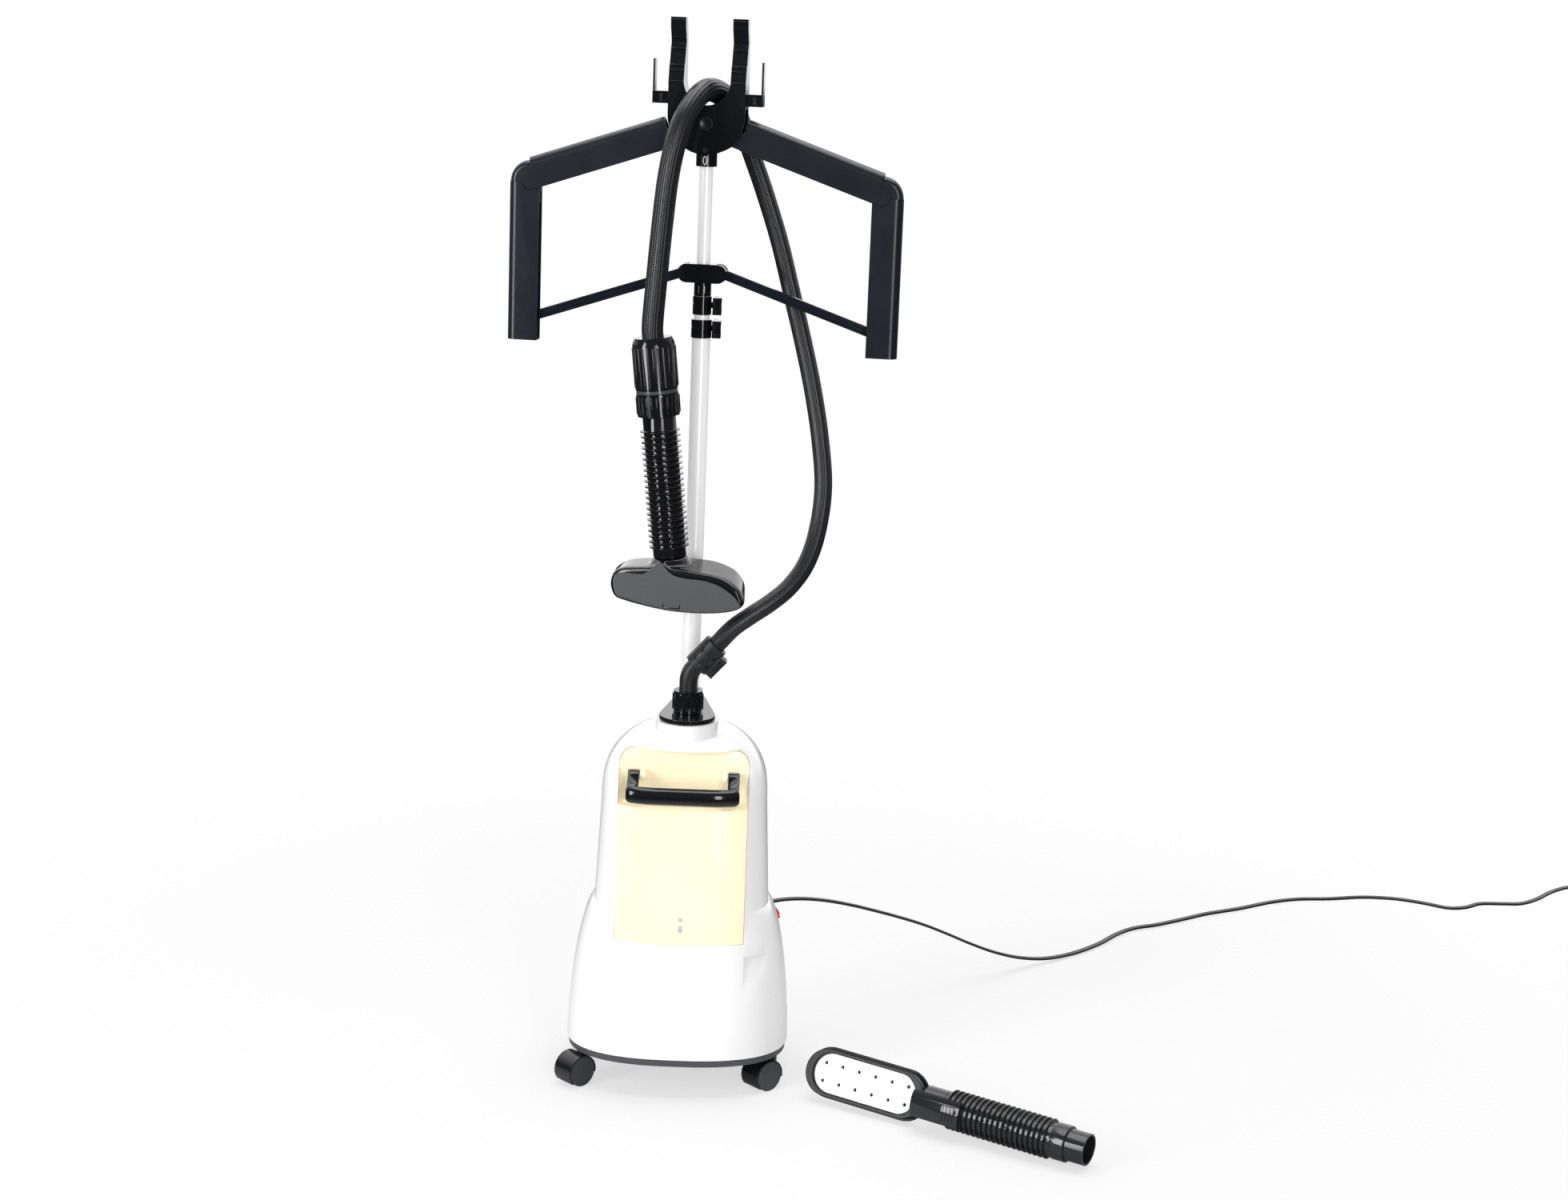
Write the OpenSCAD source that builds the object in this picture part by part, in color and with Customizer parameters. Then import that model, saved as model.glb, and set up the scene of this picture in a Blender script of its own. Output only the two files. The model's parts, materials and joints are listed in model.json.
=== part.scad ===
// Upright garment steamer: rolling base with a water tank, telescopic pole, folding hanger,
// a steam wand on its hose, and a loose press wand that lies beside the base.

/* [Base] */
// Width of the flared base at its foot
base_w = 273; // [255:1:290]
// Reach of the base from its widest line to the front edge
base_front = 100; // [92:1:112]
// Reach of the base from its widest line to the rear edge
base_back = 140; // [128:1:155]
// Height of the lower edge of the white skirt above the floor
skirt_z = 50; // [48:1:56]
// Height of the grey rim of the pan
rim_h = 9; // [7:1:10]
// Floor of the pan
pan_floor = 3; // [2:0.5:4]
// Inset of the pan rim from the skirt
rim_inset = 2; // [1:0.5:4]
// Height where the skirt has run into the column
skirt_top_z = 226; // [215:1:240]
// Wall of the housing
wall = 3; // [2:0.5:4]
// Width of the column
column_w = 214; // [204:1:224]
// Reach of the column from the widest line to its front
column_front = 72; // [66:1:80]
// Reach of the column from the widest line to its rear
column_back = 110; // [104:1:120]
// Height of the roof of the housing
roof_z = 437; // [430:1:445]
// Height of the neck on the roof
neck_h = 16; // [12:1:24]

/* [Tank] */
// Width of the bay that takes the tank
bay_w = 158; // [150:1:170]
// Height of the shelf under the tank
shelf_z = 188; // [182:1:196]
// Height of the bay
bay_h = 236; // [228:1:238]
// Depth of the tank from its front to its back
tank_deep = 61; // [52:1:66]
// How far the tank stands proud of the column
tank_proud = 3; // [1:0.5:6]
// Height of the front wall of the tank
tank_front_h = 171; // [150:1:176]
// Depth of the hand pocket behind the handle
pocket_deep = 36; // [30:1:40]
// Wall of the tank
tank_wall = 2.5; // [2:0.5:3.5]
// Radius of the upper corners of the bay
bay_r = 20; // [12:1:24]
// Clearance round the tank
tank_gap = 0.4; // [0.3:0.1:0.8]
// Length of the handle bar
handle_w = 137; // [120:1:146]
// Height of the handle bar
handle_bar_h = 22; // [16:1:26]
// Reach of the handle from its pivot to its bar
handle_reach = 40.5; // [38:0.5:50]

/* [Casters] */
// Diameter of a caster wheel
wheel_d = 37; // [34:1:38]
// Width of one wheel
wheel_w = 12; // [9:0.5:13]
// Width of the web between the two wheels
web_w = 6; // [5:0.5:8]
// Trail of the wheel behind the stem
trail = 13; // [12:0.5:18]
// Diameter of the caster stem
stem_d = 10; // [8:0.5:12]
// Diameter of the wheel axle
axle_d = 6; // [5:0.5:8]

/* [Pole] */
// Diameter of the lower tube
lower_d = 22; // [21:0.5:25]
// Diameter of the middle tube
middle_d = 19; // [18:0.5:19]
// Diameter of the upper tube
upper_d = 16; // [14:0.5:16]
// Wall of the tubes
tube_wall = 1.1; // [0.8:0.1:1.2]
// Place of the pole behind the middle of the base
pole_y = 58; // [50:1:64]
// Height of the lower clamp
clamp_z = 908.8; // [880:0.2:930]
// Height of one clamp
clamp_h = 22; // [18:1:24]
// Gap between the two clamps on the collapsed pole
clamp_gap = 6; // [4:1:10]

/* [Hanger] */
// Turn of the hanger about the pole
hanger_turn = -7; // [-15:1:15]
// Height of the middle of the yoke
yoke_z = 1174; // [1160:1:1190]
// Radius of the yoke disc
yoke_r = 46.3; // [44:0.1:50]
// Thickness of the yoke
yoke_t = 30; // [28:1:34]
// Half width of the cradle between the prongs
cradle_r = 28; // [24:0.5:30]
// Height of the prongs above the middle of the yoke
prong_h = 113; // [105:1:130]
// Diameter of the button
button_d = 17; // [14:0.5:19]
// Droop of the open arms
droop = 18.8; // [14:0.1:20]
// Length of an arm between its pivots
arm_len = 192.5; // [160:0.5:200]
// Thickness of the arms and panels
arm_t = 20; // [18:0.5:21]
// Height of an arm above its pivots
arm_up = 28; // [26:0.5:30]
// Wall of the arms and panels
arm_wall = 2.2; // [1.8:0.1:2.4]
// Height of the side panels
panel_h = 191; // [184:1:210]
// Width of the side panels
panel_w = 37.2; // [35:0.1:44]
// Distance between the arm pivots and the strut pivots
link_h = 161.9; // [156:0.1:170]
// Height of a strut
strut_h = 11.5; // [8:0.5:12]
// Diameter of the hanger pins
pin_d = 5; // [4:0.5:6]

/* [Hose] */
// Diameter of the hose in front
hose_d = 26; // [20:1:28]
// Diameter of the hose behind
hose_rear_d = 22; // [18:1:26]
// Diameter of the outlet nut
nut_d = 38; // [36:1:42]
// Height of the outlet nut
nut_h = 27; // [22:1:30]

/* [Wand] */
// Length of the finned grip
grip_len = 172; // [150:1:180]
// Diameter of the grip between its fins
grip_d = 40; // [38:0.5:42]
// Diameter of the fins
fin_d = 48; // [45:0.5:51]
// Number of fins
fins = 22; // [16:1:26]
// Thickness of a fin
fin_t = 1.8; // [1.2:0.1:2.2]
// Height of the knurled nut
grip_nut_h = 27; // [22:1:32]
// Height of the hose cuff
cuff_h = 62; // [50:1:66]
// Diameter of the hose cuff
cuff_d = 53; // [50:0.5:54]
// Depth of the steam head
head_deep = 58; // [52:1:62]
// Turn of the steam head about the wand
head_turn = -18; // [-25:1:25]

/* [Press wand] */
// Length of the oval press head
press_len = 167; // [155:1:178]
// Width of the oval press head
press_w = 62.4; // [56:0.2:64]
// Depth of the oval press head
press_deep = 17; // [15:0.5:18]
// Width of the rim beside the press plate
press_rim = 4.1; // [3:0.1:6]
// Step of the rim behind its back flange
press_step = 2.7; // [2:0.1:4]

/* [Hidden] */
$fn = 64;
gap = 0.4;
run_fit = 0.05;
mid_y = (base_front - base_back) / 2;
pan_z = skirt_z - rim_h;
base_a = base_w / 2;
column_a = column_w / 2;
outline_power = 2.5;
outline_steps = 56;

// Points of a rounded outline whose front and rear reach differ
function sign_of(v) = v < 0 ? -1 : 1;
function curve(v) = sign_of(v) * pow(abs(v), 2 / outline_power);
function outline(a, front, back) = [
  for (i = [0:outline_steps - 1])
    let (t = 360 * i / outline_steps, s = sin(t))
    [a * curve(cos(t)), mid_y + (s < 0 ? front : back) * curve(s)]
];

// Solid between a stack of equal rings
module loft(rings) {
  n = len(rings[0]);
  m = len(rings);
  sides = [
    for (k = [0:m - 2], i = [0:n - 1], h = [0, 1])
      let (j = (i + 1) % n, a = k * n + i, b = k * n + j, c = (k + 1) * n + i, d = (k + 1) * n + j)
      h == 0 ? [a, c, d] : [a, d, b]
  ];
  ends = [[for (i = [0:n - 1]) i], [for (i = [n - 1:-1:0]) (m - 1) * n + i]];
  polyhedron(points = [for (r = rings) each r], faces = concat(sides, ends), convexity = 10);
}

// Skirt, column and shoulder of the housing as functions of the height
shoulder_z = roof_z - 81;
roof_a = 38;
column_taper = 6;
function skirt_u(z) = min(max((z - skirt_z) / (skirt_top_z - skirt_z), 0), 1);
function flare(z) = pow(1 - pow(skirt_u(z), 1.8), 0.6);
function panel_u(z) = min(max((z - skirt_z) / (shelf_z - skirt_z), 0), 1);
function column_u(z) = min(max((z - skirt_top_z) / (shoulder_z - skirt_top_z), 0), 1);
function dome_u(z) = min(max((z - shoulder_z) / (roof_z - shoulder_z), 0), 1);
function dome(z) = pow(1 - pow(dome_u(z), 2.4), 0.55);
function blend(lo, hi, k) = lo + (hi - lo) * k;
function side_reach(z) =
  z > shoulder_z ? blend(roof_a, column_a - column_taper, dome(z))
    : column_a - column_taper * column_u(z) + (base_a - column_a) * flare(z);
function front_reach(z) =
  z > shoulder_z ? blend(24, column_front - 2, dome(z))
    : column_front - 2 * column_u(z) + (base_front - column_front) * (1 - panel_u(z));
function back_reach(z) =
  z > shoulder_z ? blend(90, column_back - 4, dome(z))
    : column_back - 4 * column_u(z) + (base_back - column_back) * flare(z);
function level(k) = [for (p = outline(side_reach(k) , front_reach(k), back_reach(k))) [p[0], p[1], k]];
function inner_level(k, d) =
  [for (p = outline(side_reach(k) - d, front_reach(k) - d, back_reach(k) - d)) [p[0], p[1], k]];
skirt_levels = [for (u = [0, 0.06, 0.2, 0.36, 0.52, 0.68, 0.8, 0.89, 0.95, 0.985])
  skirt_z + u * (skirt_top_z - skirt_z)];
dome_levels = [for (u = [0, 0.3, 0.52, 0.68, 0.8, 0.89, 0.95, 0.99])
  shoulder_z + u * (roof_z - shoulder_z)];
levels = concat(skirt_levels, [skirt_top_z, (skirt_top_z + shoulder_z) / 2], dome_levels);

// Long rounded triangle of the neck and its flange
nut_y = -10;
flange_front_y = nut_y - 12;
flange_r = 34;
flange_tail_r = 20;
flange_t = 6;
neck_edge = 4;
function pick(r1, y1, r2, y2, n = 24) =
  let (p = asin((r1 - r2) / (y2 - y1)))
  concat(
    [for (i = [0:n]) let (t = p + (180 - 2 * p) * i / n) [r2 * cos(t), y2 + r2 * sin(t)]],
    [for (i = [0:n]) let (t = 180 - p + (180 + 2 * p) * i / n) [r1 * cos(t), y1 + r1 * sin(t)]]
  );

// Bay and tank
bay_back_y = mid_y - column_front - tank_proud + tank_deep + tank_gap;
bay_top_z = shelf_z + bay_h;
tank_z = shelf_z + tank_gap;
tank_top_z = bay_top_z - 1;
tank_back_y = bay_back_y - tank_gap;
tank_front_y = tank_back_y - tank_deep;
tank_front_z = tank_z + tank_front_h;
pocket_y = tank_front_y + pocket_deep;
tank_half = bay_w / 2 - tank_gap;
valve_y = (tank_front_y + tank_back_y) / 2;
valve_r = 9;
handle_arm_w = 15;
handle_end_r = 7;
handle_pin_d = 6;
handle_pivot_y = pocket_y - handle_end_r - 1;
handle_pivot_z = tank_front_z + 33;
handle_drop = 22.6;

// Casters: name, stem place and turn
wheel_r = wheel_d / 2;
hood_r = wheel_r + 2;
hood_w = 2 * wheel_w + web_w;
left_stem_x = base_a - 23.5;
left_stem_y = mid_y - base_front * 0.495;
right_stem_x = base_a - 19.5;
right_stem_y = mid_y - base_front * 0.42;
stem_rear_y = mid_y + base_back * 0.66;
stem_rear_x = base_a - 47;
neck_r = 8;
stem_top_z = pan_z + 22;
caster_places = [
  [-left_stem_x, left_stem_y, 44],
  [right_stem_x, right_stem_y, 42],
  [-stem_rear_x, stem_rear_y, 62],
  [stem_rear_x, stem_rear_y, -18]
];

// Boiler and its lines
boiler_d = 104;
boiler_h = 62;
boiler_y = 12;
boiler_z = pan_z + pan_floor + 12;
riser_d = 16;
tower_places = [[-66, mid_y - 46], [66, mid_y - 46]];
tower_d = 11;
screw_d = 3.8;

// Pole stack
flange_z = roof_z + neck_h;
socket_foot_z = flange_z - 110;
socket_d = lower_d + 8;
tube_gap = 0.3;
upper_clamp_z = clamp_z + clamp_h + clamp_gap;
clamp_r = lower_d / 2 + 1.3;
upper_clamp_r = middle_d / 2 + 1.8;
lever_w = 10.6;
lever_edge = 0.7;
lug_h = 7;
lever_pin_d = 3;
middle_foot_z = clamp_z - 427;
upper_foot_z = clamp_z - 287;

// Hanger pivots in the hanger's own frame
arm_pivot_x = 30;
arm_pivot_z = yoke_z - 25.6;
strut_pivot_x = 24;
link_dx = strut_pivot_x - arm_pivot_x;
collar_z = arm_pivot_z - link_h;
arm_down = 10;
lug_r = 9.5;
slot_half = arm_t / 2 + 1;
collar_h = 22.5;
collar_w = 60;
collar_t = 22;
strut_t = 7;
tube_top_z = arm_pivot_z - 14;
cradle_z = yoke_z + 12 + cradle_r;
cradle_out = yoke_r;
button_z = yoke_z - 9.5;
hook_out = 20;
hook_t = 2.4;
hook_up = 52;
hook_foot = 14.4;

// Outlet, elbow and coupling
outlet_r = 11.4;
elbow_r = 11;
elbow_bend = 28;
elbow_turn = 42;
elbow_z = flange_z + flange_t + 38;
coupling_d = 31;
coupling_len = 36;

// Wand frame
wand_x = -27.6;
wand_y = 4;
wand_z = 649;
wand_lean = -6;
grip_spigot_d = 38;
ring_h = 4.5;
nut_low_z = grip_len + gap;
ring_low_z = nut_low_z + grip_nut_h + gap;
cuff_low_z = ring_low_z + ring_h;

// Press wand frame: its middle, the turn of its axis, its dip and the roll of its plate
press_x = 234.6;
press_y = -129.6;
press_z = 33.9;
press_turn = -30.8;
press_dip = 1.8;
press_roll = 70;
press_neck_x = 75;
press_grip_x = 112;
press_tongue_x = 138.5;
press_fin_len = 142.5;
press_fins = 20;
press_collar_d = 43.5;
press_collar_len = 18.5;
press_spigot_len = 24;

// Route of the hose and of the mains cord
hose_rear_points = [
  [18.2, -10, 527.9], [33, -10, 544.4], [52, -7, 565], [73, -1, 580], [96, 7, 595],
  [119, 18, 614], [138, 32, 641],
  [150, 47, 679], [155, 62, 730], [149, 75, 787], [138, 85, 845], [124, 93, 902], [108, 99, 960],
  [90, 104, 1024], [70, 106, 1082], [51, 105, 1131]
];
hose_front_points = [
  [50.86, 104.99, 1131.37], [42.2, 104.5, 1153.7], [32, 99, 1176], [20, 88, 1195],
  [9, 73, 1204.5], [1, 58, 1206.5],
  [-6, 44, 1204.5], [-16, 29, 1193], [-27, 15, 1170], [-36, 7, 1140], [-43, 4, 1100], [-48, 4, 1048],
  [-52, 4, 995], [-55.2, 4, 950], [-56.4, 4, 925], [-55, 4, 909.6], [-52.7, 4, 887.7]
];
hose_taper = [0, 1 / 3, 2 / 3];
hose_front_radii = [for (i = [0:len(hose_front_points) - 1])
  (hose_rear_d + (hose_d - hose_rear_d) * (i < len(hose_taper) ? hose_taper[i] : 1)) / 2];
cord_d = 7;
cord_points = [
  [76, 73, 184], [99, 88, 184], [124, 103, 185], [152, 119, 182], [182, 136, 175],
  [214, 158, 163], [248, 188, 146],
  [282, 221, 127], [316, 256, 106], [350, 292, 82], [384, 325, 58], [420, 356, 36], [458, 388, 18],
  [498, 419, 7], [540, 453, 4], [580, 496, 4], [612, 543, 4], [640, 572, 4], [676, 592, 4],
  [716, 620, 4], [756, 650, 4], [810, 681, 4], [862, 716, 4], [906, 736, 4], [956, 744, 4],
  [1010, 758, 4], [1060, 756, 4], [1100, 740, 4], [1132, 722, 4], [1160, 728, 4], [1186, 748, 4],
  [1220, 752, 4], [1250, 756, 4], [1280, 780, 4], [1312, 818, 4],
  [1348, 850, 4], [1377, 861, 4], [1399.3, 843.3, 4]
];
coil_x = 1440;
coil_y = 806;
coil_r = 44;
coil_section = 22;

// Swept tube along a list of points
function unit(v) = v / norm(v);
function tangent(p, i) =
  i == 0 ? unit(p[1] - p[0]) : i == len(p) - 1 ? unit(p[i] - p[i - 1]) : unit(p[i + 1] - p[i - 1]);
function side_of(t) = abs(t[2]) > 0.9 ? unit(cross([0, 1, 0], t)) : unit(cross([0, 0, 1], t));
function next_side(s, t) = unit(s - t * (s * t));
function sides_from(p, i, s) =
  i == len(p) ? [] : let (n = next_side(s, tangent(p, i))) concat([n], sides_from(p, i + 1, n));
module tube_along(p, r, n) {
  s = sides_from(p, 0, side_of(tangent(p, 0)));
  rings = [
    for (i = [0:len(p) - 1])
      let (t = tangent(p, i), b = cross(t, s[i]))
      [for (k = [0:n - 1]) p[i] + (is_list(r) ? r[i] : r) * (cos(360 * k / n) * s[i] + sin(360 * k / n) * b)]
  ];
  loft(rings);
}

// Frames and plain helpers
module slab(t) {
  rotate([90, 0, 0]) linear_extrude(height = t, center = true) children();
}
module side_slab(w) {
  rotate([90, 0, 90]) linear_extrude(height = w, center = true) children();
}
module on_pole() {
  translate([0, pole_y, 0]) children();
}
module in_hanger() {
  on_pole() rotate([0, 0, hanger_turn]) children();
}
module in_wand() {
  translate([wand_x, wand_y, wand_z]) rotate([0, wand_lean, 0]) children();
}
module in_press() {
  translate([press_x, press_y, press_z]) rotate([0, press_dip, press_turn]) children();
}
module both_sides() {
  children();
  mirror([1, 0, 0]) children();
}
module cross_pin(d, len) {
  rotate([90, 0, 0]) cylinder(d = d, h = len, center = true);
}

// Base
module pan_outline(d) {
  polygon(outline(base_a - d, base_front - d, base_back - d));
}
module base_pan() {
  color("#4a4b4f") difference() {
    union() {
      translate([0, 0, pan_z]) linear_extrude(height = pan_floor) pan_outline(rim_inset);
      translate([0, 0, pan_z]) linear_extrude(height = rim_h) difference() {
        pan_outline(rim_inset);
        pan_outline(rim_inset + wall);
      }
      for (c = caster_places) translate([c[0], c[1], pan_z]) cylinder(d = stem_d + 4, h = 24);
      for (a = [30, 150, 270]) translate([36 * cos(a), boiler_y + 36 * sin(a), pan_z])
        cylinder(d = 12, h = boiler_z - pan_z);
    }
    for (c = caster_places) translate([c[0], c[1], pan_z - 1])
      cylinder(d = stem_d + 2 * run_fit, h = stem_top_z - pan_z + 1.5);
    for (t = tower_places) translate([t[0], t[1], pan_z - 1]) {
      cylinder(d = screw_d + 0.4, h = 20);
      cylinder(d = 2 * screw_d + 0.4, h = 2.6);
    }
  }
}
module pan_screws() {
  color("#9a9c9f") for (t = tower_places) translate([t[0], t[1], pan_z + 0.1]) {
    cylinder(d = 2 * screw_d, h = 1.4);
    cylinder(d = screw_d, h = 16);
  }
}
module housing_shell() {
  difference() {
    loft([for (z = levels) level(z)]);
    loft(concat(
      [inner_level(skirt_z - 1, wall)],
      [for (z = levels) if (z < roof_z - 6) inner_level(z, wall)],
      [inner_level(roof_z - 5, wall + 2)]
    ));
  }
}
module bay_face(half, low, top, r) {
  translate([-half, low]) square([2 * half, top - r - low]);
  translate([-half + r, low]) square([2 * half - 2 * r, top - low]);
  for (s = [-1, 1]) translate([s * (half - r), top - r]) circle(r = r);
}
module bay_box(d) {
  low = -base_front - 60;
  translate([0, bay_back_y + d, 0]) rotate([90, 0, 0]) linear_extrude(height = bay_back_y + d - low)
    bay_face(bay_w / 2 + d, shelf_z - d, bay_top_z + d, bay_r + d);
}
// Facet under each pillar, beside the front panel, and the solid skin behind it
facet_x = bay_w / 2 + 1;
facet_z = shelf_z - 15;
facet_y = mid_y - column_front + 13.5;
module pillar_facet() {
  corner = [facet_x, facet_y, facet_z];
  polyhedron(
    points = [corner, corner + [57, 20, 0], corner + [0, -31, -88], corner + [0, -90, 0]],
    faces = [[0, 1, 3], [0, 2, 1], [0, 3, 2], [1, 2, 3]]
  );
}
module facet_skin() {
  intersection() {
    loft([for (z = levels) level(z)]);
    both_sides() translate([facet_x - 4, facet_y - 30, facet_z - 48]) cube([36, 48, 51]);
  }
}
module housing() {
  color("#f4f4f2") difference() {
    union() {
      housing_shell();
      intersection() {
        loft([for (z = levels) level(z)]);
        bay_box(wall);
      }
      facet_skin();
      translate([0, 0, roof_z - 8]) linear_extrude(height = neck_h + 8)
        polygon(pick(flange_r + neck_edge, flange_front_y, flange_tail_r + neck_edge, pole_y));
      for (t = tower_places) translate([t[0], t[1], pan_z + pan_floor + gap])
        cylinder(d = tower_d, h = shelf_z - wall - pan_z - pan_floor);
    }
    bay_box(0);
    both_sides() pillar_facet();
    for (t = tower_places) translate([t[0], t[1], pan_z]) cylinder(d = screw_d + 0.1, h = 22);
    translate([0, valve_y, shelf_z - wall - 2]) cylinder(r = valve_r + 4.3, h = wall + 4);
    translate([0, nut_y, roof_z - 30]) cylinder(d = riser_d + 9, h = 80);
    on_pole() translate([0, 0, roof_z - 30]) cylinder(d = socket_d + 2 * gap, h = 80);
    at_rocker() translate([-rocker_w / 2 - 2.4, -rocker_l / 2 - 2.4, -14])
      cube([rocker_w + 4.8, rocker_l + 4.8, 30]);
    at_gland() cylinder(d = gland_d + 0.6, h = 60, center = true);
  }
}

// Rocker switch on the right shoulder of the skirt
rocker_w = 11;
rocker_l = 19;
rocker_y = 28;
rocker_z = 196;
rocker_turn = 10;
rocker_tilt = 52;
function edge_x(y, z) =
  side_reach(z) * pow(1 - pow((y - mid_y) / back_reach(z), outline_power), 1 / outline_power);
module at_rocker() {
  translate([edge_x(rocker_y, rocker_z) - 0.6, rocker_y, rocker_z])
    rotate([0, 0, rocker_turn]) rotate([0, rocker_tilt, 0]) children();
}
module rocker_bezel() {
  color("#5c1a1c") at_rocker() difference() {
    translate([-rocker_w / 2 - 2, -rocker_l / 2 - 2, -12]) cube([rocker_w + 4, rocker_l + 4, 13.2]);
    translate([-rocker_w / 2, -rocker_l / 2, -9]) cube([rocker_w, rocker_l, 30]);
  }
}
module rocker() {
  color("#c8202c") at_rocker() translate([0, 0, -2]) {
    intersection() {
      rotate([0, 90, 0]) cylinder(r = rocker_l / 2 - 0.6, h = rocker_w - 1, center = true);
      translate([-rocker_w, -rocker_l, -3]) cube([2 * rocker_w, 2 * rocker_l, 8]);
    }
    rotate([0, 90, 0]) cylinder(d = 4, h = rocker_w - 0.2, center = true);
  }
}

// Cord gland at the right rear of the skirt
gland_d = 13;
gland_x = 88;
gland_y = 81;
gland_z = 184;
gland_turn = 33;
module at_gland() {
  translate([gland_x, gland_y, gland_z]) rotate([0, 0, gland_turn]) rotate([0, 90, 0]) children();
}
module cord_gland() {
  color("#1c1d20") at_gland() difference() {
    union() {
      translate([0, 0, -16]) cylinder(d = gland_d, h = 18);
      translate([0, 0, -10]) cylinder(d = gland_d - 4, h = 22);
      for (k = [0:2]) translate([0, 0, 3 + 3 * k]) cylinder(d = gland_d - 2, h = 1.6);
    }
    translate([0, 0, -20]) cylinder(d = cord_d + 1, h = 50);
  }
}

// Inner working pieces
module boiler() {
  color("#b9bcc0") translate([0, boiler_y, boiler_z]) {
    cylinder(d = boiler_d, h = boiler_h - 8);
    translate([0, 0, 22]) cylinder(d = boiler_d + 10, h = 5);
    translate([0, 0, boiler_h - 8]) cylinder(d1 = boiler_d, d2 = boiler_d - 18, h = 8);
    for (s = [-1, 1]) translate([s * 26, boiler_d / 2 - 12, 12]) rotate([-90, 0, 0]) cylinder(d = 7, h = 22);
  }
}
module steam_riser() {
  low = boiler_z + boiler_h;
  color("#8d9095") translate([0, nut_y, 0]) difference() {
    union() {
      translate([0, 0, low]) cylinder(d = riser_d, h = flange_z + flange_t - low);
      translate([0, 0, low]) cylinder(d = riser_d + 8, h = 4);
    }
    translate([0, 0, low - 1]) cylinder(d = riser_d - 5, h = flange_z + flange_t - low + 2);
  }
}
module valve_seat() {
  color("#e4e4e0") translate([0, valve_y, 0]) difference() {
    union() {
      translate([0, 0, shelf_z - wall - 18]) cylinder(r = valve_r + 4, h = wall + 17);
      translate([0, 0, shelf_z - wall - 4]) cylinder(r = valve_r + 9, h = 4);
    }
    translate([0, 0, shelf_z - wall - 14]) cylinder(r = valve_r + 1, h = 30);
    translate([0, 0, shelf_z - wall - 30]) cylinder(d = 7.2, h = 30);
  }
}
module water_inlet() {
  low = boiler_z + 34;
  top = shelf_z - wall - 18;
  reach = boiler_y - boiler_d / 2 - valve_y;
  color("#c9c6b8") {
    translate([0, valve_y, low]) cylinder(d = 10, h = top - low);
    translate([0, valve_y, low]) sphere(d = 10);
    translate([0, valve_y, low]) rotate([-90, 0, 0]) cylinder(d = 10, h = reach);
  }
}
module thermostat() {
  color("#caa45a") translate([26, boiler_y + 20, boiler_z + boiler_h]) {
    cylinder(d = 22, h = 7);
    translate([0, 0, 7]) cylinder(d = 16, h = 6);
    for (s = [-1, 1]) translate([s * 5 - 1.5, -0.4, 13]) cube([3, 0.8, 8]);
  }
}
module terminal_block() {
  color("#e8e4d8") translate([-102, 30, pan_z + pan_floor]) difference() {
    cube([40, 16, 15]);
    for (k = [0:2]) translate([7 + 13 * k, 8, 6]) cylinder(d = 5, h = 20);
  }
}

// Neck flange with the outlet spigot and the pole socket
module neck_flange() {
  color("#17181b") difference() {
    union() {
      translate([0, 0, flange_z]) linear_extrude(height = flange_t)
        polygon(pick(flange_r, flange_front_y, flange_tail_r, pole_y));
      translate([0, nut_y, flange_z + flange_t]) cylinder(r = outlet_r + 3, h = 20);
      on_pole() translate([0, 0, socket_foot_z]) cylinder(d = socket_d, h = flange_z - socket_foot_z + 1);
      on_pole() translate([0, 0, flange_z + flange_t]) cylinder(d1 = socket_d + 4, d2 = socket_d, h = 12);
    }
    translate([0, nut_y, flange_z - 1]) cylinder(d = riser_d + 2 * run_fit, h = 40);
    translate([0, nut_y, flange_z + flange_t + 1.5]) cylinder(r = outlet_r, h = 40);
    on_pole() translate([0, 0, socket_foot_z + 4]) cylinder(d = lower_d + 2 * run_fit, h = 200);
  }
}
module outlet_nut() {
  low = flange_z + flange_t + gap;
  color("#1b1c1f") translate([0, nut_y, low]) difference() {
    union() {
      cylinder(d = nut_d - 3, h = nut_h);
      for (k = [0:11]) rotate([0, 0, 30 * k]) translate([nut_d / 2 - 1.6, 0, 3])
        cylinder(d = 3.2, h = nut_h - 7);
    }
    translate([0, 0, -1]) cylinder(r = outlet_r + 3 + run_fit, h = 21.6);
    translate([0, 0, 10]) cylinder(r = elbow_r + 0.5, h = 40);
  }
}
module hose_elbow() {
  foot = flange_z + flange_t + 2;
  color("#26272b") translate([0, nut_y, 0]) {
    translate([0, 0, foot]) cylinder(r = elbow_r, h = elbow_z - foot);
    translate([0, 0, elbow_z - 6]) cylinder(r = elbow_r - 1.5, h = 10);
    translate([elbow_bend, 0, elbow_z]) rotate([90, 0, 0]) rotate([0, 0, 180 - elbow_turn])
      rotate_extrude(angle = elbow_turn) translate([elbow_bend, 0]) circle(r = elbow_r);
    at_coupling() {
      cylinder(r = elbow_r, h = 8.5);
      translate([0, 0, -4]) cylinder(r = elbow_r - 1.5, h = 10);
    }
  }
}
module at_coupling() {
  translate([elbow_bend * (1 - cos(elbow_turn)), 0, elbow_z + elbow_bend * sin(elbow_turn)])
    rotate([0, elbow_turn, 0]) children();
}
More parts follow.
